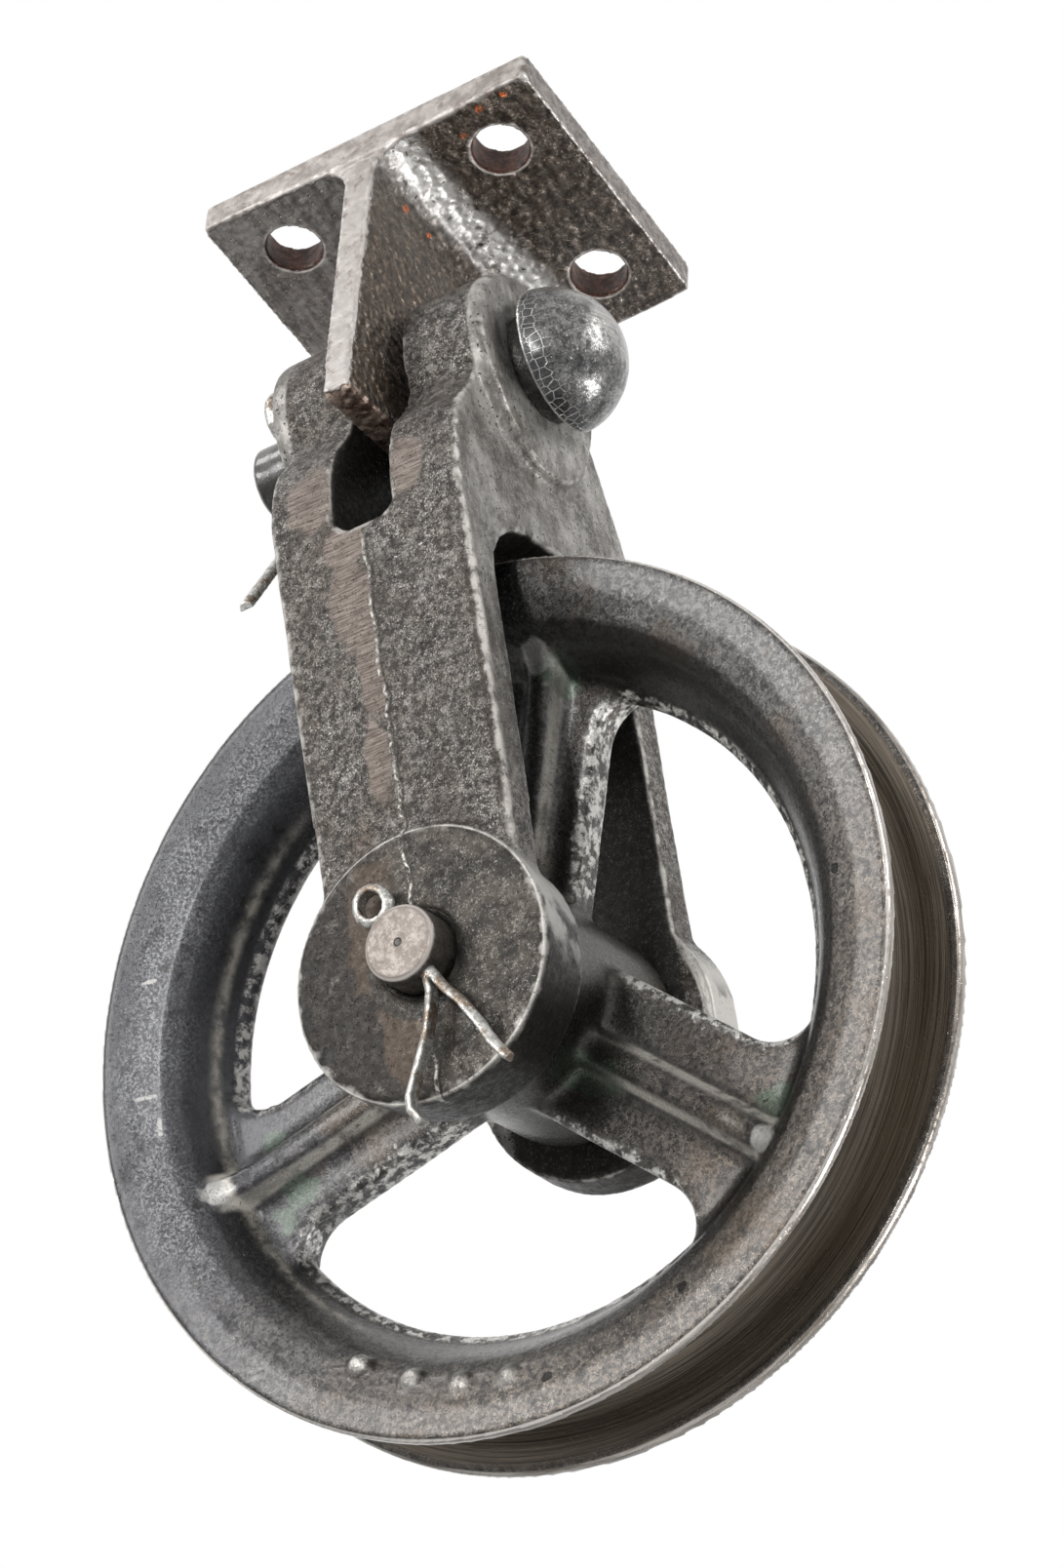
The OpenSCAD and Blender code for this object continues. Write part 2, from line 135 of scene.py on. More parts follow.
lamp("key_lamp", wheel_centre + Vector((-0.75, -1.1, 0.62)), wheel_centre, 0.5, 0.35, 8)
lamp("front_lamp", wheel_centre + Vector((0.12, -1.5, 0.32)), wheel_centre, 0.16, 0.7, 13)
lamp("top_lamp", wheel_centre + Vector((-0.55, -0.55, 1.25)), wheel_centre, 0.35, 0.35, 4)
lamp("side_lamp", wheel_centre + Vector((1.35, 0.25, 0.65)), wheel_centre, 0.4, 0.6, 10)
lamp("low_lamp", wheel_centre + Vector((0.95, 0.6, -0.75)), wheel_centre + Vector((0, 0, 0.2)),
     0.42, 0.35, 13)

world = bpy.data.worlds.new("studio")
world.use_nodes = True
bpy.context.scene.world = world
sky = world.node_tree
sky.nodes.clear()
ray = put(sky, "ShaderNodeLightPath")
seen = largest(sky, *(ray.outputs[f"Is {kind} Ray"] for kind in ("Camera", "Transmission", "Glossy")))
room = put(sky, "ShaderNodeBackground", {"Color": (0.93, 0.96, 1.0, 1), "Strength": 0.5})
backdrop = put(sky, "ShaderNodeBackground", {"Color": (1, 1, 1, 1), "Strength": 1.0})
both = put(sky, "ShaderNodeMixShader", {0: seen, 1: room.outputs[0], 2: backdrop.outputs[0]})
put(sky, "ShaderNodeOutputWorld", {0: both.outputs[0]})

floor_z = camera_place.z - FLOOR_DROP
floor_corners = [(x * FLOOR_HALF, y * FLOOR_HALF, floor_z) for x, y in ((-1, -1), (1, -1), (1, 1), (-1, 1))]
floor_mesh = bpy.data.meshes.new("floor")
floor_mesh.from_pydata(floor_corners, [], [(0, 1, 2, 3)])
floor = bpy.data.objects.new("floor", floor_mesh)
bpy.context.collection.objects.link(floor)
paper = bpy.data.materials.new("floor_paper")
paper.use_nodes = True
paper.node_tree.nodes["Principled BSDF"].inputs["Base Color"].default_value = (0.83, 0.83, 0.82, 1)
paper.node_tree.nodes["Principled BSDF"].inputs["Roughness"].default_value = 0.9
floor_mesh.materials.append(paper)

# The hanger: a tee rolled in iron, drilled for four bolts, its underside
# pitted by rust and its edges rubbed bright. It is bolted under a rafter.
# Sizes are in metres from the middle of its top.

PLATE_VOXEL = 0.0009
PLATE_TILT = math.radians(19.7)
PLATE_SIDE = 0.0585
PLATE_FRONT = -0.0481
HOLE_RADIUS = 0.0087
HOLE_X = 0.0378
HOLE_V = 0.028
SCALE_BLACK = (0.026, 0.019, 0.014)
SCALE_BROWN = (0.115, 0.085, 0.064)
SCALE_GREY = (0.36, 0.335, 0.30)
RUST_BROWN = (0.095, 0.034, 0.018)
RUST_ORANGE = (0.75, 0.17, 0.035)


def vectors(tree, operation, first, second=(0, 0, 0)):
    """One step of arithmetic on vectors, which gives a value or a vector."""
    outputs = put(tree, "ShaderNodeVectorMath", {0: first, 1: second}, operation=operation).outputs
    return outputs["Value" if operation in ("LENGTH", "DOT_PRODUCT") else "Vector"]


def noise(tree, place, size, detail=3.0, roughness=0.6):
    """Plain noise whose largest features have about the given size, in metres."""
    scale = sums(tree, "DIVIDE", 1.0, size) if isinstance(size, bpy.types.NodeSocket) else 1.0 / size
    return put(tree, "ShaderNodeTexNoise", {"Vector": place, "Scale": scale, "Detail": detail,
                                            "Roughness": roughness}).outputs[0]


def skin_tree():
    """Geometry nodes that give a metal skin its lumps and pits, and mark its edges."""
    tree = bpy.data.node_groups.new("metal skin", "GeometryNodeTree")
    face = tree.interface
    face.new_socket("Geometry", in_out="INPUT", socket_type="NodeSocketGeometry")
    for name, kind, value in (
            ("Lump Size", "Float", 0.01), ("Lump Height", "Float", 0.0002), ("Pit Size", "Float", 0.002),
            ("Pit Height", "Float", 0.0001), ("Edge Width", "Float", 0.001), ("Edge Reach", "Int", 8),
            ("Soft Centre", "Vector", (0, 0, 0)), ("Soft Reach", "Float", 0.0), ("Soft Skip", "Float", 0.0),
            ("Soft Steps", "Int", 0), ("Swell", "Float", 0.0)):
        face.new_socket(name, in_out="INPUT", socket_type="NodeSocket" + kind).default_value = value
    face.new_socket("Material", in_out="INPUT", socket_type="NodeSocketMaterial")
    face.new_socket("Geometry", in_out="OUTPUT", socket_type="NodeSocketGeometry")
    given = put(tree, "NodeGroupInput").outputs
    place = put(tree, "GeometryNodeInputPosition").outputs[0]
    normal = put(tree, "GeometryNodeInputNormal").outputs[0]
    away = vectors(tree, "SUBTRACT", place, given["Soft Centre"])
    near = sums(tree, "LESS_THAN", vectors(tree, "LENGTH", away), given["Soft Reach"])
    depth = sums(tree, "ABSOLUTE", put(tree, "ShaderNodeSeparateXYZ", {0: away}).outputs["Y"])
    inside = times(tree, near, sums(tree, "GREATER_THAN", depth, given["Soft Skip"]))
    blurs = []
    for steps, weight in ((given["Soft Steps"], inside), (given["Edge Reach"], 1.0)):
        blur = put(tree, "GeometryNodeBlurAttribute", {"Iterations": steps, "Weight": weight},
                   data_type="FLOAT_VECTOR")
        tree.links.new(place, [s for s in blur.inputs if s.name == "Value" and s.enabled][0])
        blurs.append([s for s in blur.outputs if s.enabled][0])
    softened = put(tree, "GeometryNodeSetPosition", {"Geometry": given["Geometry"], "Position": blurs[0]})
    sharp = vectors(tree, "DOT_PRODUCT", vectors(tree, "SUBTRACT", place, blurs[1]), normal)
    edge = sums(tree, "DIVIDE", sharp, given["Edge Width"])
    marked = put(tree, "GeometryNodeStoreNamedAttribute",
                 {"Geometry": softened.outputs[0], "Name": "edge", "Value": edge},
                 data_type="FLOAT", domain="POINT")
    height = given["Swell"]
    for size, amount, detail in (("Lump Size", "Lump Height", 2.0), ("Pit Size", "Pit Height", 3.0)):
        rough = noise(tree, place, given[size], detail, 0.5)
        height = plus(tree, height, times(tree, minus(tree, rough, 0.5), given[amount]))
    push = put(tree, "ShaderNodeVectorMath", {0: normal, "Scale": height}, operation="SCALE")
    moved = put(tree, "GeometryNodeSetPosition", {"Geometry": marked.outputs[0], "Offset": push.outputs[0]})
    smooth = put(tree, "GeometryNodeSetShadeSmooth", {"Geometry": moved.outputs[0]})
    real = put(tree, "GeometryNodeRealizeInstances", {"Geometry": smooth.outputs[0]})
    dressed = put(tree, "GeometryNodeSetMaterial",
                  {"Geometry": real.outputs[0], "Material": given["Material"]})
    put(tree, "NodeGroupOutput", {"Geometry": dressed.outputs[0]})
    return tree


metal_skin = skin_tree()


def worn_copy(node, name, voxel, rounding, material, skin, bumps=()):
    """A solid copy of a CAD node, its edges worn round and its surface roughened.

    Each bump is the place, the outward direction and the two radii of a raised pip
    that is cast on the piece."""
    mesh = bpy.data.meshes.new(name)
    shell = bmesh.new()
    shell.from_mesh(frame["nodes"][node].data)
    bmesh.ops.remove_doubles(shell, verts=shell.verts, dist=1e-6)
    for place, outward, width, height in bumps:
        turn = outward.to_track_quat("Z", "Y").to_matrix().to_4x4()
        shape = Matrix.Translation(place) @ turn @ Matrix.Diagonal((width, width, height, 1))
        bmesh.ops.create_icosphere(shell, subdivisions=3, radius=1.0, matrix=shape)
    shell.to_mesh(mesh)
    shell.free()
    piece = bpy.data.objects.new(name, mesh)
    bpy.context.collection.objects.link(piece)
    remesh = piece.modifiers.new("cast", "REMESH")
    remesh.mode = "VOXEL"
    remesh.voxel_size = voxel
    wear = piece.modifiers.new("rounding", "SMOOTH")
    wear.factor = 0.5
    wear.iterations = rounding
    surface = piece.modifiers.new("skin", "NODES")
    surface.node_group = metal_skin
    for socket in metal_skin.interface.items_tree:
        if socket.in_out == "INPUT" and socket.name in skin:
            surface[socket.identifier] = skin[socket.name]
        if socket.in_out == "INPUT" and socket.name == "Material":
            surface[socket.identifier] = material
    graph = bpy.context.evaluated_depsgraph_get()
    finished = bpy.data.meshes.new_from_object(piece.evaluated_get(graph), preserve_all_data_layers=True,
                                               depsgraph=graph)
    finished.name = name
    piece.modifiers.clear()
    piece.data = finished
    bpy.data.meshes.remove(mesh)
    return piece


def shader_group(name, inputs, outputs):
    """A shader group with its sockets made, and the values given to it."""
    tree = bpy.data.node_groups.new(name, "ShaderNodeTree")
    for label, value in inputs.items():
        kind = "NodeSocketVector" if isinstance(value, tuple) else "NodeSocketFloat"
        tree.interface.new_socket(label, in_out="INPUT", socket_type=kind).default_value = value
    for label in outputs:
        tree.interface.new_socket(label, in_out="OUTPUT", socket_type="NodeSocketFloat")
    return tree, put(tree, "NodeGroupInput").outputs


def mapped(tree, value, low, high, out_low=0.0, out_high=1.0):
    """Stretches a value from one span to another, with soft ends."""
    node = put(tree, "ShaderNodeMapRange", {"Value": value, "From Min": low, "From Max": high,
                                            "To Min": out_low, "To Max": out_high},
               interpolation_type="SMOOTHSTEP")
    return node.outputs[0]


def blended(tree, amount, first, second):
    """Mixes two colours."""
    node = put(tree, "ShaderNodeMix", data_type="RGBA")
    for socket, value in ((node.inputs[0], amount), (node.inputs[6], first), (node.inputs[7], second)):
        if isinstance(value, bpy.types.NodeSocket):
            tree.links.new(value, socket)
        else:
            socket.default_value = (*value, 1) if isinstance(value, tuple) else value
    return node.outputs[2]


def layered(tree, colour, *coats):
    """A colour under coats of others, each given by its mask and its own colour."""
    for mask, coat in coats:
        colour = blended(tree, mask, colour, coat)
    return colour


def along(tree, place, direction, centre=(0, 0, 0)):
    """How far a place lies from a centre, measured along a direction."""
    return vectors(tree, "DOT_PRODUCT", vectors(tree, "SUBTRACT", place, tuple(centre)), direction)


def measured(tree, centre):
    """The place in the object, and how many mm it lies from a centre along X, Y and Z."""
    place = put(tree, "ShaderNodeTexCoord").outputs["Object"]
    return place, *(along(tree, place, axis, centre) for axis in ((1000, 0, 0), (0, 1000, 0), (0, 0, 1000)))


def joined(tree, x, y, z=0.0):
    """A vector made of two or three values."""
    return put(tree, "ShaderNodeCombineXYZ", {"X": x, "Y": y, "Z": z}).outputs[0]


def off_axis(tree, first, second):
    """How far a place lies from an axis, from its two distances across it."""
    return vectors(tree, "LENGTH", joined(tree, first, second))


def stretched(tree, place, scale, turn=(0, 0, 0)):
    """A place turned and stretched, for a texture that runs one way."""
    return put(tree, "ShaderNodeMapping", {"Vector": place, "Rotation": turn, "Scale": scale}).outputs[0]


def within(tree, value, low, high, soft):
    """One between two values and zero outside them, with soft ends."""
    return times(tree, mapped(tree, value, low - soft, low + soft),
                 mapped(tree, value, high + soft, high - soft))


def grain_group():
    """The grain of rough iron at many scales, bright flakes in clusters, and pits."""
    tree, given = shader_group("iron grain",
                               {"Grain Size": 0.003, "Flake Size": 0.0008, "Mottle Size": 0.02},
                               ["Grain", "Flake", "Mottle", "Pit", "Height"])
    place = put(tree, "ShaderNodeTexCoord").outputs["Object"]
    coarse = noise(tree, place, given["Grain Size"], 5.0, 0.72)
    fine = noise(tree, place, given["Flake Size"], 4.0, 0.85)
    cloud = noise(tree, place, given["Mottle Size"], 4.0, 0.6)
    pore_scale = times(tree, sums(tree, "DIVIDE", 1.0, given["Flake Size"]), 0.45)
    pore = put(tree, "ShaderNodeTexNoise", {"Vector": place, "Scale": pore_scale, "Detail": 1.0}).outputs[0]
    grain = mapped(tree, plus(tree, times(tree, coarse, 0.55), times(tree, fine, 0.45)), 0.41, 0.60)
    flake = times(tree, mapped(tree, fine, 0.53, 0.62), mapped(tree, coarse, 0.42, 0.56))
    pit = times(tree, mapped(tree, pore, 0.36, 0.28), mapped(tree, cloud, 0.35, 0.5))
    height = minus(tree, plus(tree, times(tree, coarse, 0.7), times(tree, fine, 0.3)), pit)
    put(tree, "NodeGroupOutput", {"Grain": grain, "Flake": flake, "Mottle": mapped(tree, cloud, 0.34, 0.66),
                                  "Pit": pit, "Height": height})
    return tree


def wear_group():
    """Where edges are rubbed bright, from the marked edges."""
    tree, given = shader_group("rubbed edges", {"Start": 0.15, "Full": 0.6, "Ragged Size": 0.004}, ["Edge"])
    mark = put(tree, "ShaderNodeAttribute", attribute_name="edge").outputs["Fac"]
    place = put(tree, "ShaderNodeTexCoord").outputs["Object"]
    ragged = noise(tree, place, given["Ragged Size"], 4.0, 0.5)
    shifted = plus(tree, mark, mapped(tree, ragged, 0.3, 0.7, -0.22, 0.22))
    edge = mapped(tree, shifted, given["Start"], given["Full"])
    put(tree, "NodeGroupOutput", {"Edge": edge})
    return tree


def patch_group():
    """A soft ragged patch round a point, such as a rust bloom or a filed flat."""
    tree, given = shader_group("patch", {"Centre": (0, 0, 0), "Reach": (0.01, 0.01, 0.01),
                                         "Ragged Size": 0.005, "Ragged": 0.6}, ["Mask"])
    place = put(tree, "ShaderNodeTexCoord").outputs["Object"]
    scaled = vectors(tree, "DIVIDE", vectors(tree, "SUBTRACT", place, given["Centre"]), given["Reach"])
    far = vectors(tree, "LENGTH", scaled)
    ragged = noise(tree, place, given["Ragged Size"], 4.0, 0.5)
    bent = plus(tree, far, times(tree, minus(tree, ragged, 0.5), given["Ragged"], 2.0))
    put(tree, "NodeGroupOutput", {"Mask": mapped(tree, bent, 1.05, 0.75)})
    return tree


iron_grain = grain_group()
rubbed_edges = wear_group()
patch = patch_group()


def group(tree, kind, **inputs):
    """Places a shader group with its own values."""
    node = put(tree, "ShaderNodeGroup", node_tree=kind)
    for key, value in inputs.items():
        socket = node.inputs[key.replace("_", " ")]
        if isinstance(value, bpy.types.NodeSocket):
            tree.links.new(value, socket)
        else:
            socket.default_value = value
    return node.outputs


def patches(tree, spots, ragged_size, ragged):
    """The joint mask of several ragged patches, each given by its centre and its reach."""
    return largest(tree, *(group(tree, patch, Centre=tuple(centre), Reach=reach, Ragged_Size=ragged_size,
                                 Ragged=ragged)["Mask"] for centre, reach in spots))


def metal(name, metallic, oil=0.0):
    """A material with its own metallic value and film of oil, and its nodes to work on."""
    material = bpy.data.materials.new(name)
    material.use_nodes = True
    shader = material.node_tree.nodes["Principled BSDF"]
    shader.inputs["Metallic"].default_value = metallic
    shader.inputs["Coat Weight"].default_value = oil
    shader.inputs["Coat Roughness"].default_value = 0.2
    return material, material.node_tree, shader


def dress(tree, shader, colour, rough, height=None, depth=0.0):
    """Feeds the shader a colour, a roughness and a height, as a bump with a depth in metres."""
    tree.links.new(colour, shader.inputs["Base Color"])
    tree.links.new(rough, shader.inputs["Roughness"])
    if height is not None:
        bump = put(tree, "ShaderNodeBump", {"Strength": 1.0, "Distance": depth, "Height": height})
        tree.links.new(bump.outputs[0], shader.inputs["Normal"])


def on_plate(x, v, u):
    """A point of the tilted plate: to the right, to the rear and up from its top's centre."""
    c, s = math.cos(PLATE_TILT), math.sin(PLATE_TILT)
    return (x, v * c + u * s, u * c - v * s)


def plate_iron():
    """Black and brown mill scale, pebbled below, with rubbed taupe edges and rusty holes."""
    material, tree, shader = metal("plate_iron", 0.5, 0.3)
    c, s = math.cos(PLATE_TILT), math.sin(PLATE_TILT)
    place = put(tree, "ShaderNodeTexCoord").outputs["Object"]
    grain = group(tree, iron_grain, Grain_Size=0.0035, Flake_Size=0.0009, Mottle_Size=0.014)
    worn = group(tree, rubbed_edges, Start=0.22, Full=0.6, Ragged_Size=0.003)
    across = along(tree, place, (1, 0, 0))
    side = sums(tree, "ABSOLUTE", across)
    v = along(tree, place, (0, c, -s))
    u = along(tree, place, (0, s, c))

    # Scale: black in the hollows, brown on the swells, grey where it is rubbed.
    streak = noise(tree, stretched(tree, place, (1, 1, 0.3)), 0.0016, 3.0, 0.65)
    streak = times(tree, mapped(tree, streak, 0.52, 0.66), mapped(tree, u, -0.016, -0.024), 0.6)
    bright = times(tree, grain["Flake"], mapped(tree, grain["Mottle"], 0.2, 0.8, 0.35, 1.0))
    tongue = times(tree, mapped(tree, u, -0.020, -0.026),
                   mapped(tree, noise(tree, place, 0.012, 4.0, 0.6), 0.36, 0.6, 0.4, 0.85))
    scour = noise(tree, stretched(tree, place, (1, 0.25, 0.25)), 0.004, 5.0, 0.7)
    left = times(tree, mapped(tree, across, -0.006, -0.014), mapped(tree, scour, 0.38, 0.6, 0.25, 1.0))
    colour = layered(tree, blended(tree, grain["Grain"], SCALE_BLACK, SCALE_BROWN),
                     (streak, (0.27, 0.225, 0.175)), (bright, SCALE_GREY),
                     (tongue, blended(tree, grain["Grain"], (0.018, 0.012, 0.008), (0.125, 0.088, 0.058))),
                     (times(tree, left, 0.8), (0.27, 0.25, 0.23)))

    # A painted highlight: the rough light band in the right root fillet.
    spread = minus(tree, across, mapped(tree, v, -0.04, 0.05, 0.0, 0.008))
    fillet_highlight = times(tree, within(tree, spread, 0.0085, 0.017, 0.0045),
                   mapped(tree, u, -0.026, -0.021), mapped(tree, u, -0.005, -0.008),
                   mapped(tree, noise(tree, place, 0.004, 4.0, 0.7), 0.30, 0.5))
    colour = blended(tree, fillet_highlight, colour, (0.80, 0.78, 0.75))

    # The sawn front edge, rubbed to a smooth taupe with brown blotches.
    ragged = mapped(tree, noise(tree, place, 0.004, 3.0), 0.3, 0.7, -0.0005, 0.0005)
    front = mapped(tree, plus(tree, v, ragged), PLATE_FRONT + 0.0019, PLATE_FRONT + 0.0010)
    blotch = mapped(tree, noise(tree, place, 0.005, 5.0, 0.7), 0.57, 0.66)
    taupe = blended(tree, mapped(tree, noise(tree, place, 0.006, 4.0, 0.6), 0.36, 0.64),
                    (0.165, 0.142, 0.125), (0.315, 0.285, 0.262))
    taupe = blended(tree, mapped(tree, u, -0.014, -0.03), taupe, (0.275, 0.25, 0.232))
    taupe = blended(tree, times(tree, blotch, 0.85), taupe, (0.13, 0.09, 0.072))
    colour = blended(tree, front, colour, taupe)
    flank = mapped(tree, side, PLATE_SIDE - 0.0013, PLATE_SIDE - 0.0005)
    colour = blended(tree, times(tree, flank, 0.8), colour,
                     blended(tree, grain["Grain"], (0.05, 0.038, 0.03), (0.24, 0.205, 0.18)))
    colour = blended(tree, times(tree, worn["Edge"], 0.7), colour, (0.52, 0.485, 0.46))

    # Rust: in the holes, on the tongue's cut end and in a few orange specks.
    hole_far = off_axis(tree, minus(tree, side, HOLE_X), minus(tree, sums(tree, "ABSOLUTE", v), HOLE_V))
    hole_edge = within(tree, hole_far, HOLE_RADIUS + 0.0005, HOLE_RADIUS + 0.0011, 0.0003)
    colour = blended(tree, hole_edge, colour, (0.42, 0.38, 0.35))
    rusty = blended(tree, grain["Grain"], (0.028, 0.011, 0.007), RUST_BROWN)
    in_hole = mapped(tree, hole_far, HOLE_RADIUS + 0.0006, HOLE_RADIUS + 0.0002)
    colour = blended(tree, in_hole, colour, rusty)
    cut_end = mapped(tree, minus(tree, u, times(tree, v, 0.198)), -0.1068, -0.1080)
    ends = blended(tree, mapped(tree, noise(tree, place, 0.004, 4.0, 0.7), 0.38, 0.62),
                   (0.085, 0.048, 0.034), (0.30, 0.225, 0.18))
    colour = blended(tree, times(tree, cut_end, mapped(tree, front, 1.0, 0.0)), colour, ends)
    specks = patches(tree, [(on_plate(*spot), (r, r, r)) for *spot, r in (
        (0.0404, -0.0445, -0.0105, 0.0016), (0.0495, -0.0450, -0.0105, 0.0012),
        (0.0311, -0.0384, -0.0107, 0.0013), (0.0048, -0.0297, -0.0205, 0.0019),
        (0.0048, -0.0174, -0.0205, 0.0013), (0.0052, 0.0089, -0.0160, 0.0021))], 0.002, 0.9)
    bright_rust = mapped(tree, noise(tree, place, 0.0008, 2.0), 0.40, 0.6)
    colour = blended(tree, times(tree, specks, bright_rust), colour, RUST_ORANGE)

    rough = plus(tree, mapped(tree, grain["Grain"], 0.2, 0.8, 0.42, 0.26),
                 largest(tree, times(tree, front, 0.2),
                         mapped(tree, hole_far, HOLE_RADIUS + 0.0009, HOLE_RADIUS + 0.0003, 0.0, 0.5)))
    pebbles = put(tree, "ShaderNodeTexVoronoi", {"Vector": place, "Scale": 1 / 0.0030, "Smoothness": 0.7},
                  feature="SMOOTH_F1").outputs["Distance"]
    height = minus(tree, times(tree, grain["Height"], 0.35), times(tree, pebbles, 1.2))
    height = times(tree, height, mapped(tree, largest(tree, front, flank), 0, 1, 1.0, 0.12))
    dress(tree, shader, colour, rough, height, 0.0013)
    return material


plate = worn_copy("hanger_plate", "tee_hanger", PLATE_VOXEL, 1, plate_iron(),
                  {"Lump Size": 0.009, "Lump Height": 0.00035, "Pit Size": 0.0026, "Pit Height": 0.00025,
                   "Edge Width": 0.0006, "Edge Reach": 5})
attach(plate, "hanger")
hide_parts("hanger_plate")

# The yoke: one iron casting from a sand mould, with the mould's seam down the
# middle of each arm. The slot's edges and the seam were filed after casting.
# Sizes are in mm from the wheel's centre, voxels in metres.

YOKE_VOXEL = 0.00115
YOKE_DARK = (0.012, 0.0105, 0.0085)
YOKE_MID = (0.125, 0.112, 0.098)
YOKE_PALE = (0.66, 0.63, 0.59)
YOKE_BROWN = (0.125, 0.096, 0.074)
YOKE_SOOT_AND_SHADE = (0.012, 0.011, 0.009)
ARM_LEFT = -29.3
ARM_RIGHT = 34.1
ARM_INNER = 38.1
ARM_FRONT = -50.9
ARCH_TOP = 133.5
BOSS_RADIUS = 40.0
BOSS_FRONT = -52.9
BOSS_DROP = 3.2
SLOT_MIDDLE = 1.5
SLOT_HALF = 9.7


def from_wheel(x, y, z):
    """A point given in millimetres from the wheel's centre."""
    return wheel_centre + Vector((x, y, z)) / 1000


def yoke_iron():
    """Warm grey iron: rough and mottled in front, smoother at the sides, black inside from soot and painted
    shade.
    """
    material, tree, shader = metal("yoke_iron", 0.35)
    shader.inputs["Specular IOR Level"].default_value = 0.3
    place, x, y, z = measured(tree, wheel_centre)
    grain = group(tree, iron_grain, Grain_Size=0.0024, Flake_Size=0.00055, Mottle_Size=0.018)
    worn = group(tree, rubbed_edges, Start=0.3, Full=0.85, Ragged_Size=0.004)

    # Warm grey grain with pale flakes, browner at the left.
    colour = blended(tree, grain["Grain"], YOKE_DARK, YOKE_MID)
    colour = blended(tree, times(tree, grain["Flake"], mapped(tree, grain["Mottle"], 0.1, 0.9, 0.5, 1.0)),
                     colour, YOKE_PALE)
    brown = mapped(tree, noise(tree, stretched(tree, place, (1, 1, 0.5)), 0.012, 7.0, 0.75), 0.40, 0.66)
    brown = times(tree, brown, mapped(tree, x, 4, -2, 0.4, 0.8))
    colour = blended(tree, brown, colour, blended(tree, grain["Grain"], (0.030, 0.022, 0.017), YOKE_BROWN))

    # Dark and light clouds, fine dark specks and broad brown stains.
    cloud = noise(tree, place, 0.0055, 7.0, 0.72)
    speck = noise(tree, place, 0.0011, 4.0, 0.8)
    stain = noise(tree, place, 0.035, 5.0, 0.65)
    colour = layered(tree, colour,
                     (mapped(tree, cloud, 0.48, 0.34, 0.0, 0.75), (0.018, 0.015, 0.012)),
                     (mapped(tree, cloud, 0.54, 0.68, 0.0, 0.6), (0.30, 0.28, 0.255)),
                     (mapped(tree, speck, 0.47, 0.40, 0.0, 0.7), YOKE_DARK),
                     (mapped(tree, stain, 0.52, 0.62, 0.0, 0.55), (0.030, 0.023, 0.017)))

    # The sides of the crown and the arms are smoother and paler, with fine dark pits.
    flank = largest(tree, mapped(tree, x, ARM_LEFT + 0.1, ARM_LEFT - 0.9),
                    times(tree, mapped(tree, x, ARM_RIGHT - 1.1, ARM_RIGHT + 0.5), mapped(tree, z, 20, 50)))
    drawn = noise(tree, stretched(tree, place, (1, 1, 0.35)), 0.008, 7.0, 0.75)
    flank_colour = blended(tree, mapped(tree, drawn, 0.38, 0.62), (0.14, 0.13, 0.118), (0.36, 0.345, 0.32))
    flank_colour = blended(tree, grain["Pit"], flank_colour, YOKE_DARK)
    colour = blended(tree, times(tree, flank, mapped(tree, grain["Mottle"], 0.0, 1.0, 0.25, 0.9)), colour,
                     flank_colour)
    boss_far = off_axis(tree, x, plus(tree, z, mapped(tree, y, -5, 5, BOSS_DROP, 0.0)))
    # The boss's side: a painted highlight on its upper part, fading into painted shade lower down.
    boss_side = times(tree, mapped(tree, boss_far, BOSS_RADIUS - 3.0, BOSS_RADIUS - 1.8),
                      mapped(tree, z, 24, 10), mapped(tree, sums(tree, "ABSOLUTE", y), 52.2, 51.4))
    boss_painted_shade = mapped(tree, plus(tree, z, mapped(tree, grain["Mottle"], 0, 1, -8, 8)), 4, -8)
    colour = blended(tree, times(tree, boss_side, 0.9), colour,
                     blended(tree, boss_painted_shade, (0.46, 0.44, 0.41), (0.010, 0.008, 0.006)))

    # The front boss's face is browner and darker, with bright flakes and a light ring.
    face = times(tree, mapped(tree, y, BOSS_FRONT + 1.3, BOSS_FRONT + 0.6),
                 mapped(tree, boss_far, BOSS_RADIUS - 0.4, BOSS_RADIUS - 1.1))
    face_colour = blended(tree, mapped(tree, noise(tree, place, 0.009, 5.0, 0.65), 0.38, 0.6),
                          (0.008, 0.006, 0.004), (0.044, 0.036, 0.028))
    shade = plus(tree, x, mapped(tree, grain["Mottle"], 0, 1, -8, 8))
    stain = patches(tree, [(from_wheel(-12, BOSS_FRONT, 10), (0.010, 0.02, 0.024)),
                           (from_wheel(-8, BOSS_FRONT, -22), (0.006, 0.02, 0.016))], 0.008, 0.6)
    face_colour = layered(tree, face_colour,
                          (times(tree, grain["Flake"], grain["Grain"], 0.7), (0.30, 0.28, 0.25)),
                          (mapped(tree, shade, 4, -12, 0.0, 0.85), (0.008, 0.005, 0.003)),
                          (mapped(tree, cloud, 0.50, 0.36, 0.0, 0.8), (0.006, 0.005, 0.0035)),
                          (mapped(tree, cloud, 0.56, 0.70, 0.0, 0.5), (0.19, 0.172, 0.15)),
                          (times(tree, stain, 0.45), (0.085, 0.058, 0.038)))
    colour = blended(tree, face, colour, face_colour)
    ring = times(tree, mapped(tree, y, BOSS_FRONT + 2.4, BOSS_FRONT + 1.4),
                 within(tree, boss_far, BOSS_RADIUS - 1.0, BOSS_RADIUS - 0.3, 0.35),
                 mapped(tree, noise(tree, place, 0.01, 3.0), 0.3, 0.6, 0.25, 0.9))
    colour = blended(tree, ring, colour, (0.44, 0.42, 0.39))

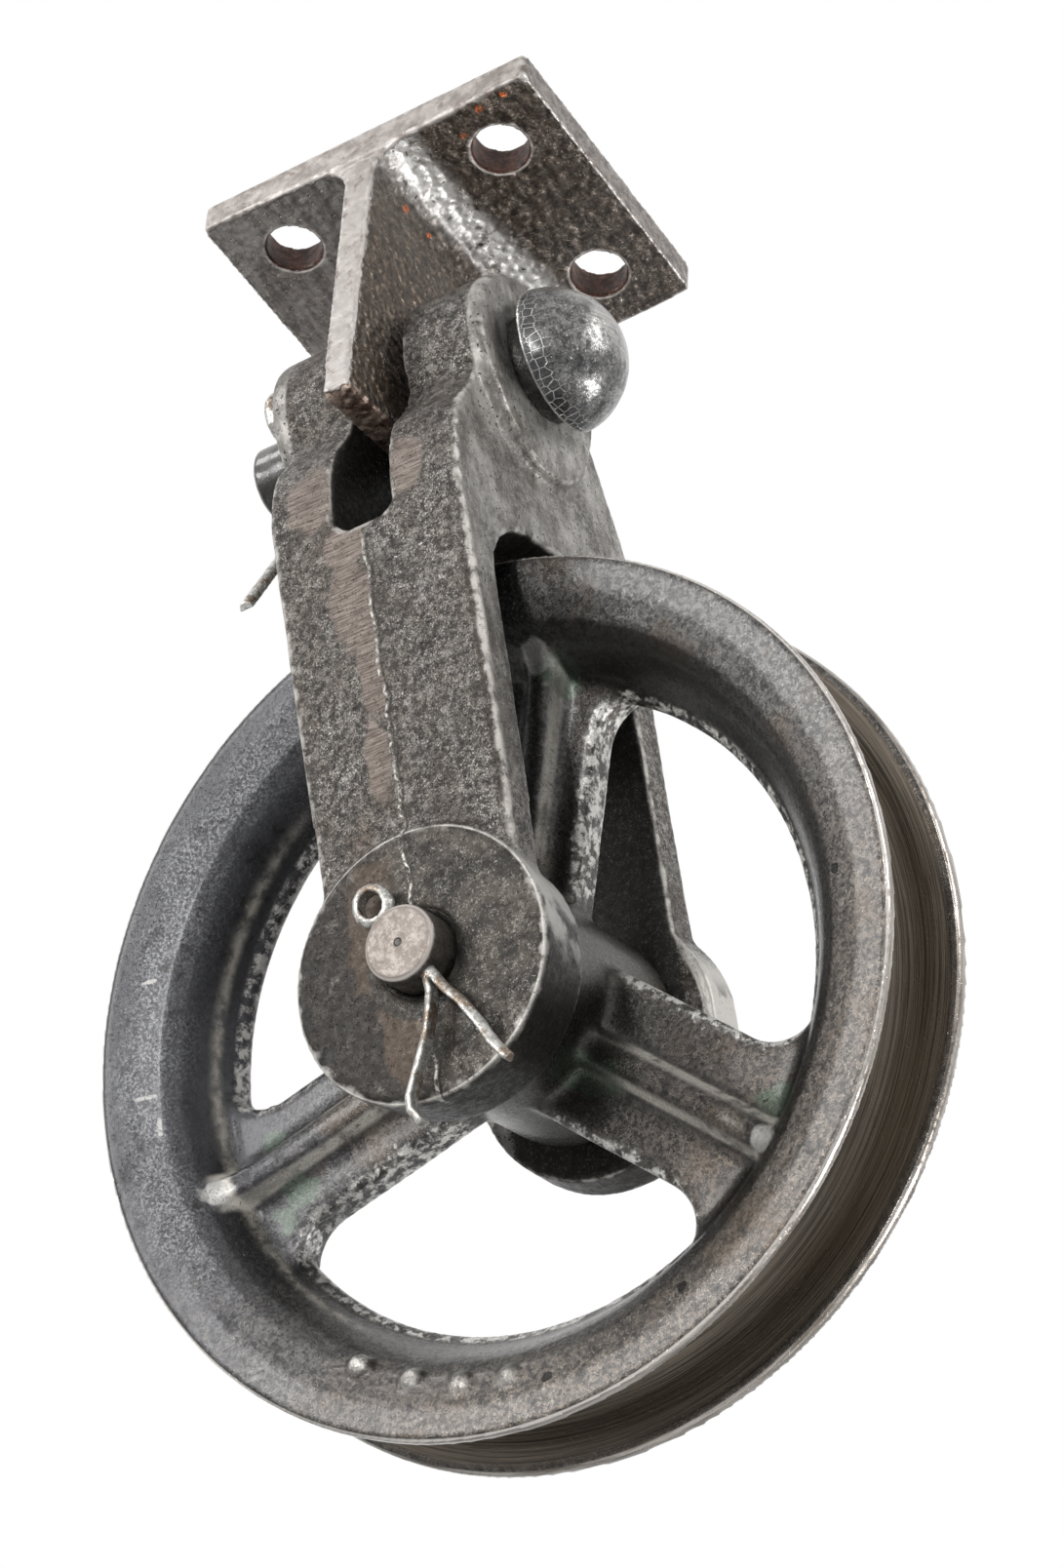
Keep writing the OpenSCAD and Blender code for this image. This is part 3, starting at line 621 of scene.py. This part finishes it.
    # Filed flats left of the seam and beside the slot, with slanting file marks.
    filed = patches(tree, [(from_wheel(*spot), reach) for spot, reach in (
        ((-15.5, -45, 151), (0.0095, 0.02, 0.013)), ((17, -46, 150), (0.006, 0.02, 0.011)),
        ((-5, ARM_FRONT, 132), (0.0085, 0.01, 0.009)), ((-6.0, ARM_FRONT, 113), (0.0085, 0.01, 0.016)),
        ((-2.6, ARM_FRONT, 90), (0.0045, 0.01, 0.018)), ((-4.8, ARM_FRONT, 62), (0.0045, 0.01, 0.014)))],
        0.006, 0.45)
    filed = times(tree, filed, mapped(tree, plus(tree, x, mapped(tree, z, 135, 142, 0, -40)), 0.9, 0.3))
    turned = stretched(tree, place, (160, 160, 2600), (0, math.radians(-24), 0))
    marks = noise(tree, turned, 1.0, 3.0, 0.5)
    file_colour = blended(tree, mapped(tree, marks, 0.36, 0.64), (0.085, 0.064, 0.052),
                          (0.235, 0.195, 0.168))
    colour = blended(tree, times(tree, filed, 0.85), colour, file_colour)

    # Rubbed edges, the crusty mould seam down the middle of the front with a painted shadow as a dark line
    # beside it, and a painted highlight and a dark line along the right corner.
    colour = blended(tree, times(tree, worn["Edge"], 0.85), colour, (0.50, 0.475, 0.44))
    wander = mapped(tree, noise(tree, joined(tree, z, 0.0), 14.0, 3.0), 0.2, 0.8, -1.2, 1.6)
    seam_far = sums(tree, "ABSOLUTE", minus(tree, x, wander))
    seam = times(tree, mapped(tree, seam_far, 0.8, 0.25), mapped(tree, y, -45, -49),
                 mapped(tree, z, 133, 128), mapped(tree, noise(tree, place, 0.0022, 3.0, 0.7), 0.42, 0.58))
    # A painted shadow: the dark line beside the seam.
    groove = times(tree, within(tree, minus(tree, x, wander), 0.9, 1.5, 0.3), mapped(tree, y, -45, -49),
                   mapped(tree, z, 133, 128))
    corner = times(tree, mapped(tree, y, -47.5, -49.5), within(tree, z, 25, 118, 12),
                   mapped(tree, noise(tree, place, 0.006, 4.0, 0.7), 0.35, 0.55))
    # A painted highlight along the right corner, with a dark line beside it.
    corner_highlight = within(tree, x, ARM_RIGHT - 1.1, ARM_RIGHT + 0.4, 0.4)
    dark_line = within(tree, x, ARM_RIGHT - 3.2, ARM_RIGHT - 1.8, 0.5)
    colour = layered(tree, colour,
                     (seam, (0.50, 0.475, 0.43)),
                     (times(tree, groove, 0.8), YOKE_DARK),
                     (times(tree, corner, corner_highlight, 0.7), (0.48, 0.45, 0.41)),
                     (times(tree, corner, dark_line, 0.9), (0.030, 0.022, 0.016)))

    # Soot, old grease and painted shade: darker in the slot, under the arch, on the inner faces and in the
    # bore.
    slot_inside = times(tree, mapped(tree, sums(tree, "ABSOLUTE", minus(tree, x, SLOT_MIDDLE)),
                                     SLOT_HALF + 0.7, SLOT_HALF + 0.2), mapped(tree, z, 138, 139.6))
    fork_inside = times(tree, mapped(tree, sums(tree, "ABSOLUTE", y), ARM_INNER + 0.5, ARM_INNER + 0.1),
                        mapped(tree, z, ARCH_TOP + 0.7, ARCH_TOP + 0.1),
                        within(tree, x, ARM_LEFT + 0.7, ARM_RIGHT - 1.5, 0.6))
    bore = mapped(tree, boss_far, 16.5, 15.5)
    soot_and_shade = largest(tree, slot_inside, fork_inside, times(tree, bore, 0.8))
    soot_and_shade_colour = blended(tree, times(tree, grain["Flake"], 0.5), YOKE_SOOT_AND_SHADE, (0.20, 0.19, 0.17))
    colour = blended(tree, times(tree, soot_and_shade, 0.92), colour, soot_and_shade_colour)

    smooth = largest(tree, flank, boss_side, face)
    height = plus(tree, times(tree, grain["Height"], mapped(tree, smooth, 0, 1, 1.0, 0.35)),
                  plus(tree, times(tree, seam, 0.7), times(tree, filed, marks, 0.25)))
    dress(tree, shader, colour, mapped(tree, grain["Grain"], 0.2, 0.8, 0.50, 0.32), height, 0.0006)
    return material


yoke = worn_copy("yoke_frame", "cast_yoke", YOKE_VOXEL, 2, yoke_iron(),
                 {"Lump Size": 0.014, "Lump Height": 0.0008, "Pit Size": 0.0025, "Pit Height": 0.00025,
                  "Edge Width": 0.0009, "Edge Reach": 6})
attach(yoke, "yoke")
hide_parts("yoke_frame")

# The swing pin: forged steel with a domed button head, hammered and cracked near
# its rim. A thick loose ring lies under the head, a split cotter at the plain end.
# The head's sizes are in mm from the pin's middle.

PIN_VOXEL = 0.0006
HEAD_RADIUS = 22.5
HEAD_START = 44.5


def forged_steel():
    """Dark polished forging with fine cracks near the head's rim and a brushed grey side."""
    material, tree, shader = metal("forged_steel", 0.75, 0.5)
    place, x, y, z = measured(tree, swing_centre)
    grain = group(tree, iron_grain, Grain_Size=0.003, Flake_Size=0.0007, Mottle_Size=0.012)
    worn = group(tree, rubbed_edges, Start=0.25, Full=0.8, Ragged_Size=0.003)
    far = off_axis(tree, y, z)
    turn = sums(tree, "ARCTAN2", z, y)

    # Dark polish, with a brushed grey side towards the upper rear.
    colour = blended(tree, grain["Grain"], (0.026, 0.0255, 0.026), (0.19, 0.186, 0.18))
    brushed = mapped(tree, noise(tree, stretched(tree, place, (60, 60, 1400)), 1.0, 3.0, 0.6), 0.35, 0.65)
    grey_side = mapped(tree, plus(tree, along(tree, place, (0, 600, 800), swing_centre),
                                  mapped(tree, grain["Mottle"], 0, 1, -5, 5)), -7, 7)
    grey = blended(tree, brushed, (0.26, 0.25, 0.24), (0.46, 0.44, 0.42))
    colour = blended(tree, times(tree, grey_side, 0.85), colour, grey)
    colour = blended(tree, times(tree, grain["Flake"], 0.6), colour, (0.5, 0.48, 0.46))

    # Fine light cracks in a dark band near the head's rim, and a light line round it.
    cells = joined(tree, times(tree, turn, HEAD_RADIUS / 2.7), times(tree, x, 1 / 3.2))
    crack = put(tree, "ShaderNodeTexVoronoi", {"Vector": cells, "Scale": 1.0, "Randomness": 0.55},
                feature="DISTANCE_TO_EDGE", voronoi_dimensions="2D").outputs["Distance"]
    near_rim = times(tree, mapped(tree, x, HEAD_START + 9.5, HEAD_START + 4.5),
                     mapped(tree, x, HEAD_START + 1.0, HEAD_START + 2.0),
                     mapped(tree, along(tree, place, (0, -700, -500), swing_centre), -4, 9))
    cracked = times(tree, mapped(tree, crack, 0.075, 0.03), near_rim)
    rim_line = times(tree, within(tree, x, HEAD_START + 0.6, HEAD_START + 1.1, 0.3),
                     mapped(tree, far, HEAD_RADIUS - 1.5, HEAD_RADIUS - 0.7))
    colour = layered(tree, colour,
                     (times(tree, near_rim, 0.8), (0.022, 0.022, 0.024)),
                     (cracked, (0.32, 0.315, 0.30)),
                     (times(tree, rim_line, 0.8), (0.62, 0.60, 0.57)),
                     (times(tree, worn["Edge"], 0.6), (0.5, 0.48, 0.45)),
                     (mapped(tree, x, 20, 10, 0.0, 0.85), (0.022, 0.020, 0.018)))
    height = plus(tree, times(tree, grain["Height"], 0.35),
                  minus(tree, times(tree, brushed, grey_side, 0.12), cracked))
    dress(tree, shader, colour, mapped(tree, grain["Grain"], 0.2, 0.8, 0.40, 0.24), height, 0.0004)
    return material


forged = forged_steel()
pin = worn_copy("pivot_pin", "swing_pin", PIN_VOXEL, 1, forged,
                {"Lump Size": 0.008, "Lump Height": 0.0005, "Pit Size": 0.0015, "Pit Height": 0.0001})
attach(pin, "swing_pin")
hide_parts("pivot_pin")


def ring_steel():
    """Plain dull steel of the loose ring, lighter on its rubbed corners."""
    material, tree, shader = metal("ring_steel", 0.8)
    grain = group(tree, iron_grain, Grain_Size=0.003, Flake_Size=0.0007, Mottle_Size=0.008)
    worn = group(tree, rubbed_edges, Start=0.25, Full=0.8, Ragged_Size=0.003)
    colour = blended(tree, grain["Grain"], (0.02, 0.019, 0.018), (0.08, 0.075, 0.07))
    colour = blended(tree, times(tree, worn["Edge"], 0.7), colour, (0.5, 0.48, 0.45))
    rough = mapped(tree, grain["Grain"], 0.2, 0.8, 0.4, 0.24)
    dress(tree, shader, colour, rough, grain["Height"], 0.0003)
    return material


ring = worn_copy("pivot_washer", "pin_ring", PIN_VOXEL, 2, ring_steel(),
                 {"Lump Size": 0.006, "Lump Height": 0.0004, "Pit Size": 0.0015, "Pit Height": 0.0001})
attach(ring, "pin_ring")
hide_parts("pivot_washer")


def cotter_steel():
    """Bright rubbed wire, browner in its hollows."""
    material, tree, shader = metal("cotter_steel", 0.7)
    grain = group(tree, iron_grain, Grain_Size=0.0025, Flake_Size=0.0006, Mottle_Size=0.007)
    colour = blended(tree, grain["Grain"], (0.24, 0.23, 0.21), (0.66, 0.65, 0.62))
    colour = blended(tree, times(tree, mapped(tree, grain["Mottle"], 0.6, 0.95), 0.8), colour,
                     (0.16, 0.10, 0.055))
    colour = blended(tree, times(tree, grain["Flake"], 0.8), colour, (0.7, 0.69, 0.65))
    rough = mapped(tree, grain["Grain"], 0.2, 0.8, 0.45, 0.3)
    dress(tree, shader, colour, rough, grain["Height"], 0.00025)
    return material


COTTER_VOXEL = 0.0003
wire = cotter_steel()
for cad_node, name, body in (("pivot_cotter", "swing_pin_cotter", "swing_pin"),
                             ("axle_cotter", "axle_pin_cotter", "axle")):
    cotter = worn_copy(cad_node, name, COTTER_VOXEL, 3, wire,
                       {"Lump Size": 0.004, "Lump Height": 0.0003, "Pit Size": 0.001, "Pit Height": 0.0001,
                        "Swell": 0.00025})
    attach(cotter, body)
    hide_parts(cad_node)

# The wheel: one iron casting with a turned rope groove and flange edges, and
# three flat spokes, each with a rib on both sides. Sizes are in mm from the
# wheel's centre, voxels and pips in metres.

WHEEL_VOXEL = 0.0011
WHEEL_BLACK = (0.026, 0.0255, 0.0255)
WHEEL_GREY = (0.098, 0.092, 0.087)
WHEEL_BRIGHT = (0.34, 0.335, 0.325)
WHEEL_WARM = (0.125, 0.098, 0.074)
WHEEL_HUB_DARK = (0.045, 0.041, 0.035)
VERDIGRIS = (0.07, 0.10, 0.07)
WHEEL_RADIUS = 127.0
WHEEL_FRONT = -23.1
HUB_RADIUS = 31.0
WEB_MIDDLE = 2.0
WINDOW_END = 95.0
GROOVE_CENTRE = 119.5
GROOVE_RADIUS = 17.0
# Each spoke's angle, and how bright the painted highlight lines along its upper and lower ribs are.
SPOKES = ((73, 0.2, 0.7), (195, 1.0, 0.7), (317, 1.0, 0.9))
PIP_WIDTH = 0.0036
PIP_HEIGHT = 0.0017
PIPS = ((-55, -92.9), (-39.6, -101.9), (-24.6, -107.8), (-9.6, -110.6))


def wheel_iron():
    """Glossy charcoal iron full of bright flakes, light on the rubbed lands and rib ends."""
    material, tree, shader = metal("wheel_iron", 0.85, 0.25)
    place, x, y, z = measured(tree, wheel_centre)
    grain = group(tree, iron_grain, Grain_Size=0.0017, Flake_Size=0.0004, Mottle_Size=0.02)
    worn = group(tree, rubbed_edges, Start=0.3, Full=0.85, Ragged_Size=0.004)
    flat = joined(tree, x, z)
    far = off_axis(tree, x, z)
    turn = sums(tree, "ARCTAN2", z, x)

    # Charcoal with a painted cold sheen at the left and a brown tinge at the lower right; the left is
    # darker, with painted glints in a band across its rim.
    grey = blended(tree, mapped(tree, along(tree, flat, (-0.9, 0.43, 0)), 0, 110), WHEEL_GREY,
                   (0.062, 0.063, 0.072))
    grey = blended(tree, mapped(tree, along(tree, flat, (0.6, -0.8, 0)), 10, 110, 0.0, 0.75), grey,
                   WHEEL_WARM)
    colour = blended(tree, grain["Grain"], WHEEL_BLACK, grey)
    rim = mapped(tree, far, WINDOW_END - 1, WINDOW_END + 6)
    bright = times(tree, grain["Flake"], mapped(tree, grain["Mottle"], 0.1, 0.8, 0.3, 1.0),
                   mapped(tree, far, 92, 112, 0.15, 0.55), mapped(tree, x, -60, 20, 0.5, 1.0))
    colour = blended(tree, bright, colour, WHEEL_BRIGHT)
    left = mapped(tree, along(tree, flat, (-0.95, 0.3, 0)), 55, 90)
    brown = mapped(tree, noise(tree, place, 0.028, 4.0, 0.6), 0.52, 0.66, 0.0, 0.4)
    sheen_glints = times(tree, mapped(tree, noise(tree, place, 0.0009, 5.0, 0.85), 0.47, 0.58),
                    within(tree, plus(tree, far, mapped(tree, grain["Mottle"], 0, 1, -2, 2)), 107, 119, 9))
    colour = layered(tree, colour,
                     (times(tree, brown, mapped(tree, left, 0, 1, 1.0, 0.2)), (0.085, 0.06, 0.04)),
                     (times(tree, left, 0.7), (0.034, 0.034, 0.037)),
                     (times(tree, left, sheen_glints, 0.6), (0.27, 0.27, 0.28)))

    # Light worn blotches low on the rim, dark hollows all over, and painted shade round the inner rim that
    # is strongest at the right.
    worn_face = mapped(tree, noise(tree, place, 0.005, 7.0, 0.8), 0.50, 0.64)
    sunk = mapped(tree, noise(tree, place, 0.007, 6.0, 0.7), 0.46, 0.34, 0.0, 0.7)
    inner_rim_shade = times(tree, mapped(tree, far, WINDOW_END + 20, WINDOW_END + 6),
                  mapped(tree, far, WINDOW_END - 5, WINDOW_END - 1), mapped(tree, x, -10, 60, 0.0, 0.8))
    colour = layered(tree, colour,
                     (times(tree, worn_face, rim, mapped(tree, z, -20, -80), 0.35), (0.16, 0.145, 0.13)),
                     (sunk, (0.014, 0.0135, 0.013)), (inner_rim_shade, (0.022, 0.020, 0.018)))

    # The hub and the inner half of the spokes are darker, flecked with pale flakes.
    near_hub_dark = plus(tree, far, mapped(tree, grain["Mottle"], 0, 1, -9, 9))
    near_hub_dark = times(tree, mapped(tree, near_hub_dark, 2 * HUB_RADIUS, HUB_RADIUS + 5), 0.75)
    colour = blended(tree, near_hub_dark, colour, blended(tree, times(tree, grain["Flake"], 0.5), WHEEL_HUB_DARK,
                                                   (0.22, 0.21, 0.20)))

    # Crusty light walls of the windows and ragged flash along their front edges.
    crust = mapped(tree, noise(tree, place, 0.003, 4.0, 0.7), 0.44, 0.6)
    wall = times(tree, mapped(tree, sums(tree, "ABSOLUTE", minus(tree, y, WEB_MIDDLE)), 5.6, 5.0),
                 mapped(tree, far, WINDOW_END + 0.5, WINDOW_END - 0.5),
                 mapped(tree, far, HUB_RADIUS + 1, HUB_RADIUS + 7),
                 mapped(tree, x, -75, -45, 0.5, 1.0))
    colour = blended(tree, times(tree, wall, crust, 0.85), colour, (0.62, 0.60, 0.56))
    fins = group(tree, rubbed_edges, Start=0.18, Full=0.45, Ragged_Size=0.002)["Edge"]
    flash = times(tree, within(tree, y, -5.5, -2.6, 0.5), fins,
                  mapped(tree, far, WINDOW_END + 2, WINDOW_END - 1), mapped(tree, x, -75, -45, 0.2, 1.0))
    colour = blended(tree, times(tree, flash, mapped(tree, crust, 0.0, 0.8)), colour, (0.70, 0.68, 0.64))

    # Polished flange lands, rubbed rib ends, scratches and rubbed edges, with painted highlight lines along
    # the ribs and a painted warm highlight on the window lip at the left.
    land = mapped(tree, far, WHEEL_RADIUS - 1.0, WHEEL_RADIUS - 0.6)
    # A painted warm highlight along the window lip at the left.
    window_lip_highlight = times(tree, within(tree, far, WINDOW_END + 1, WINDOW_END + 3.5, 1.2),
                mapped(tree, x, -40, -75), mapped(tree, y, -4, -7),
                mapped(tree, noise(tree, place, 0.006, 5.0, 0.7), 0.36, 0.6, 0.25, 1.0))
    colour = blended(tree, times(tree, window_lip_highlight, 0.7), colour, (0.40, 0.37, 0.32))
    streaks = noise(tree, joined(tree, times(tree, y, 0.8), times(tree, turn, 6.0)), 1.0, 4.0, 0.6)
    polish = blended(tree, mapped(tree, streaks, 0.32, 0.64), (0.15, 0.125, 0.105), (0.42, 0.385, 0.35))
    ends = patches(tree, [(from_wheel(100 * math.cos(a), -15, 100 * math.sin(a)), (0.005, 0.012, 0.005))
                          for a in (math.radians(spoke[0]) for spoke in SPOKES)], 0.006, 0.6)
    colour = blended(tree, times(tree, ends, 0.45), colour, (0.58, 0.56, 0.53))
    # Painted highlight lines along both edges of each spoke's rib.
    rib_highlight_lines = []
    for angle, upper, lower in SPOKES:
        c, s = math.cos(math.radians(angle)), math.sin(math.radians(angle))
        across = along(tree, flat, (-s, c, 0))
        line = plus(tree, times(tree, within(tree, across, 4.0, 6.4, 0.9), upper if c > -0.5 else lower),
                    times(tree, within(tree, across, -6.4, -4.0, 0.9), lower if c > -0.5 else upper))
        outward = mapped(tree, along(tree, flat, (c, s, 0)), HUB_RADIUS + 5, HUB_RADIUS + 19)
        rib_highlight_lines.append(times(tree, line, outward))
    rib_highlight = times(tree, largest(tree, *rib_highlight_lines), mapped(tree, y, -4.8, -6.2),
                mapped(tree, far, WINDOW_END + 9, WINDOW_END + 3),
                mapped(tree, noise(tree, place, 0.008, 4.0, 0.6), 0.3, 0.5, 0.35, 1.0))
    rubbed = times(tree, worn["Edge"], mapped(tree, sums(tree, "ABSOLUTE", y), 5.5, 7.5, 0.5, 1.0),
                   mapped(tree, far, 116, 122, 1.0, 0.0))
    rim_line = times(tree, land, mapped(tree, y, WHEEL_FRONT + 1.2, WHEEL_FRONT + 0.6))
    colour = layered(tree, colour, (times(tree, rib_highlight, 0.9), (0.60, 0.56, 0.50)), (rubbed, (0.60, 0.57, 0.53)),
                     (land, polish), (rim_line, (0.62, 0.58, 0.54)))

    # The pips' worn tops, deep pocks in the front, and light nicks at the rim's left.
    pips = patches(tree, [(from_wheel(a, -19.6, c), (PIP_WIDTH, PIP_WIDTH, PIP_WIDTH)) for a, c in PIPS],
                   0.003, 0.3)
    pocks = patches(tree, [(from_wheel(a, b, c), (0.0015, 0.003, 0.0015)) for a, b, c in (
        (2.8, -21.2, -114.9), (46, -21, -103.4), (110.3, -20.5, -5))], 0.002, 0.5)
    nicks = patches(tree, [(from_wheel(a, -20, c), reach) for a, c, reach in (
        (-113, 6.5, (0.0035, 0.004, 0.0008)), (-103, 9, (0.0008, 0.004, 0.0045)),
        (-107, 41, (0.0028, 0.004, 0.0008)), (-110, -3, (0.0009, 0.004, 0.0035)))], 0.002, 0.6)
    colour = layered(tree, colour, (times(tree, pips, 0.35), (0.30, 0.29, 0.27)),
                     (pocks, (0.012, 0.011, 0.010)), (times(tree, nicks, 0.5), (0.34, 0.33, 0.31)))

    # The rope groove: dull brown black with fine lathe lines, and a painted highlight low on its right.
    groove_far = off_axis(tree, sums(tree, "MINIMUM", minus(tree, far, GROOVE_CENTRE)), y)
    groove = times(tree, mapped(tree, groove_far, GROOVE_RADIUS + 1.6, GROOVE_RADIUS + 0.8),
                   mapped(tree, far, 100, 101.5))
    lines = joined(tree, times(tree, y, 2.6), times(tree, turn, 2.0), times(tree, far, 2.6))
    lines = noise(tree, lines, 1.0, 4.0)
    groove_colour = blended(tree, mapped(tree, lines, 0.34, 0.66), (0.052, 0.042, 0.031),
                            (0.165, 0.137, 0.106))
    groove_highlight = times(tree, within(tree, turn, -0.75, -0.2, 0.3), within(tree, y, -15, 0, 6),
                 mapped(tree, lines, 0.4, 0.6))
    groove_colour = blended(tree, times(tree, groove_highlight, 0.6), groove_colour, (0.55, 0.49, 0.42))
    colour = blended(tree, groove, colour, groove_colour)

    # Green copper stains from the bush, carried out along the spokes.
    stains = patches(tree, [(from_wheel(a, -8, c), (r, 0.012, r)) for a, c, r in (
        (18.6, -27, 0.007), (27, -33, 0.006), (-75.7, -31, 0.006), (-81.5, -36.5, 0.005),
        (33.7, 90.8, 0.006), (74.8, -55.5, 0.006), (-82.8, -14.3, 0.005))], 0.006, 0.9)
    colour = blended(tree, times(tree, stains, 0.5), colour, VERDIGRIS)

    # Crusty walls, flash, rib ends and the painted highlights are less metallic.
    crust_and_painted_highlights = largest(tree, rib_highlight, times(tree, ends, 0.6), flash, times(tree, wall, crust), window_lip_highlight)
    tree.links.new(mapped(tree, crust_and_painted_highlights, 0, 1, 0.85, 0.35), shader.inputs["Metallic"])
    rough = largest(tree, mapped(tree, grain["Grain"], 0.2, 0.8, 0.30, 0.18),
                    times(tree, groove, 0.4), times(tree, left, 0.34))
    height = times(tree, grain["Height"], mapped(tree, largest(tree, land, groove), 0, 1, 1.0, 0.2))
    height = plus(tree, height, times(tree, groove, mapped(tree, lines, 0.3, 0.7), 0.1))
    height = minus(tree, height, times(tree, pocks, 3.0))
    dress(tree, shader, colour, rough, height, 0.0003)
    return material


wheel_pips = [(from_wheel(a, -19.3, c), Vector((-0.31 * a / 110, -0.95, -0.31 * c / 110)),
               PIP_WIDTH, PIP_HEIGHT) for a, c in PIPS]
wheel = worn_copy("sheave_wheel", "spoked_wheel", WHEEL_VOXEL, 2, wheel_iron(),
                  {"Lump Size": 0.018, "Lump Height": 0.0004, "Pit Size": 0.004, "Pit Height": 0.0001,
                   "Edge Width": 0.0009, "Edge Reach": 6, "Soft Centre": from_wheel(0, WEB_MIDDLE, 0),
                   "Soft Reach": 0.103, "Soft Skip": 0.0049, "Soft Steps": 14}, wheel_pips)
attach(wheel, "sheave")
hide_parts("sheave_wheel")

# Inside the hub: a bronze bush pressed in, and a steel washer at each end
# that takes the rub against the bosses.


def bush_metal():
    """Oiled bronze."""
    material, tree, shader = metal("bush_metal", 0.9)
    grain = group(tree, iron_grain, Grain_Size=0.003, Flake_Size=0.0008, Mottle_Size=0.006)
    colour = blended(tree, grain["Mottle"], (0.32, 0.2, 0.09), (0.6, 0.42, 0.2))
    dress(tree, shader, colour, mapped(tree, grain["Grain"], 0.2, 0.8, 0.45, 0.3))
    return material


bush = worn_copy("hub_bush", "hub_bush_bronze", 0.0008, 2, bush_metal(),
                 {"Lump Height": 0.0, "Pit Height": 0.0})
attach(bush, "sheave")
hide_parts("hub_bush")


def worn_steel():
    """Smooth light taupe steel with a centre punch and a brown film, darker on its sides."""
    material, tree, shader = metal("worn_steel", 0.4)
    _, x, y, z = measured(tree, wheel_centre)
    grain = group(tree, iron_grain, Grain_Size=0.003, Flake_Size=0.0009, Mottle_Size=0.008)
    far = off_axis(tree, x, z)
    colour = blended(tree, grain["Mottle"], (0.145, 0.12, 0.10), (0.20, 0.173, 0.153))
    colour = blended(tree, times(tree, grain["Grain"], 0.15), colour, (0.33, 0.30, 0.275))
    colour = blended(tree, within(tree, far, 10.2, 11.0, 0.3), colour, (0.42, 0.38, 0.35))
    shank = mapped(tree, y, -61.9, -61.3)
    colour = blended(tree, shank, colour,
                     blended(tree, grain["Grain"], (0.03, 0.025, 0.02), (0.12, 0.105, 0.09)))
    punch = times(tree, mapped(tree, far, 1.4, 0.9), mapped(tree, shank, 1.0, 0.0))
    colour = blended(tree, punch, colour, (0.03, 0.025, 0.02))
    height = minus(tree, times(tree, grain["Height"], 0.12), punch)
    dress(tree, shader, colour, mapped(tree, grain["Grain"], 0.2, 0.8, 0.5, 0.36), height, 0.0005)
    return material


steel = worn_steel()
for cad_node, name, body in (("thrust_washer_front", "front_thrust_washer", "front_washer"),
                             ("thrust_washer_rear", "rear_thrust_washer", "rear_washer")):
    washer = worn_copy(cad_node, name, PIN_VOXEL, 2, steel,
                       {"Lump Height": 0.0001, "Pit Size": 0.0015, "Pit Height": 0.00005})
    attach(washer, body)
    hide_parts(cad_node)

# The axle: a turned steel pin with a flat head behind the rear boss, its front
# end rubbed smooth and light.

axle = worn_copy("axle_pin", "axle_pin_steel", 0.0005, 1, steel,
                 {"Lump Height": 0.0, "Pit Size": 0.0015, "Pit Height": 0.00005})
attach(axle, "axle")
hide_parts("axle_pin")
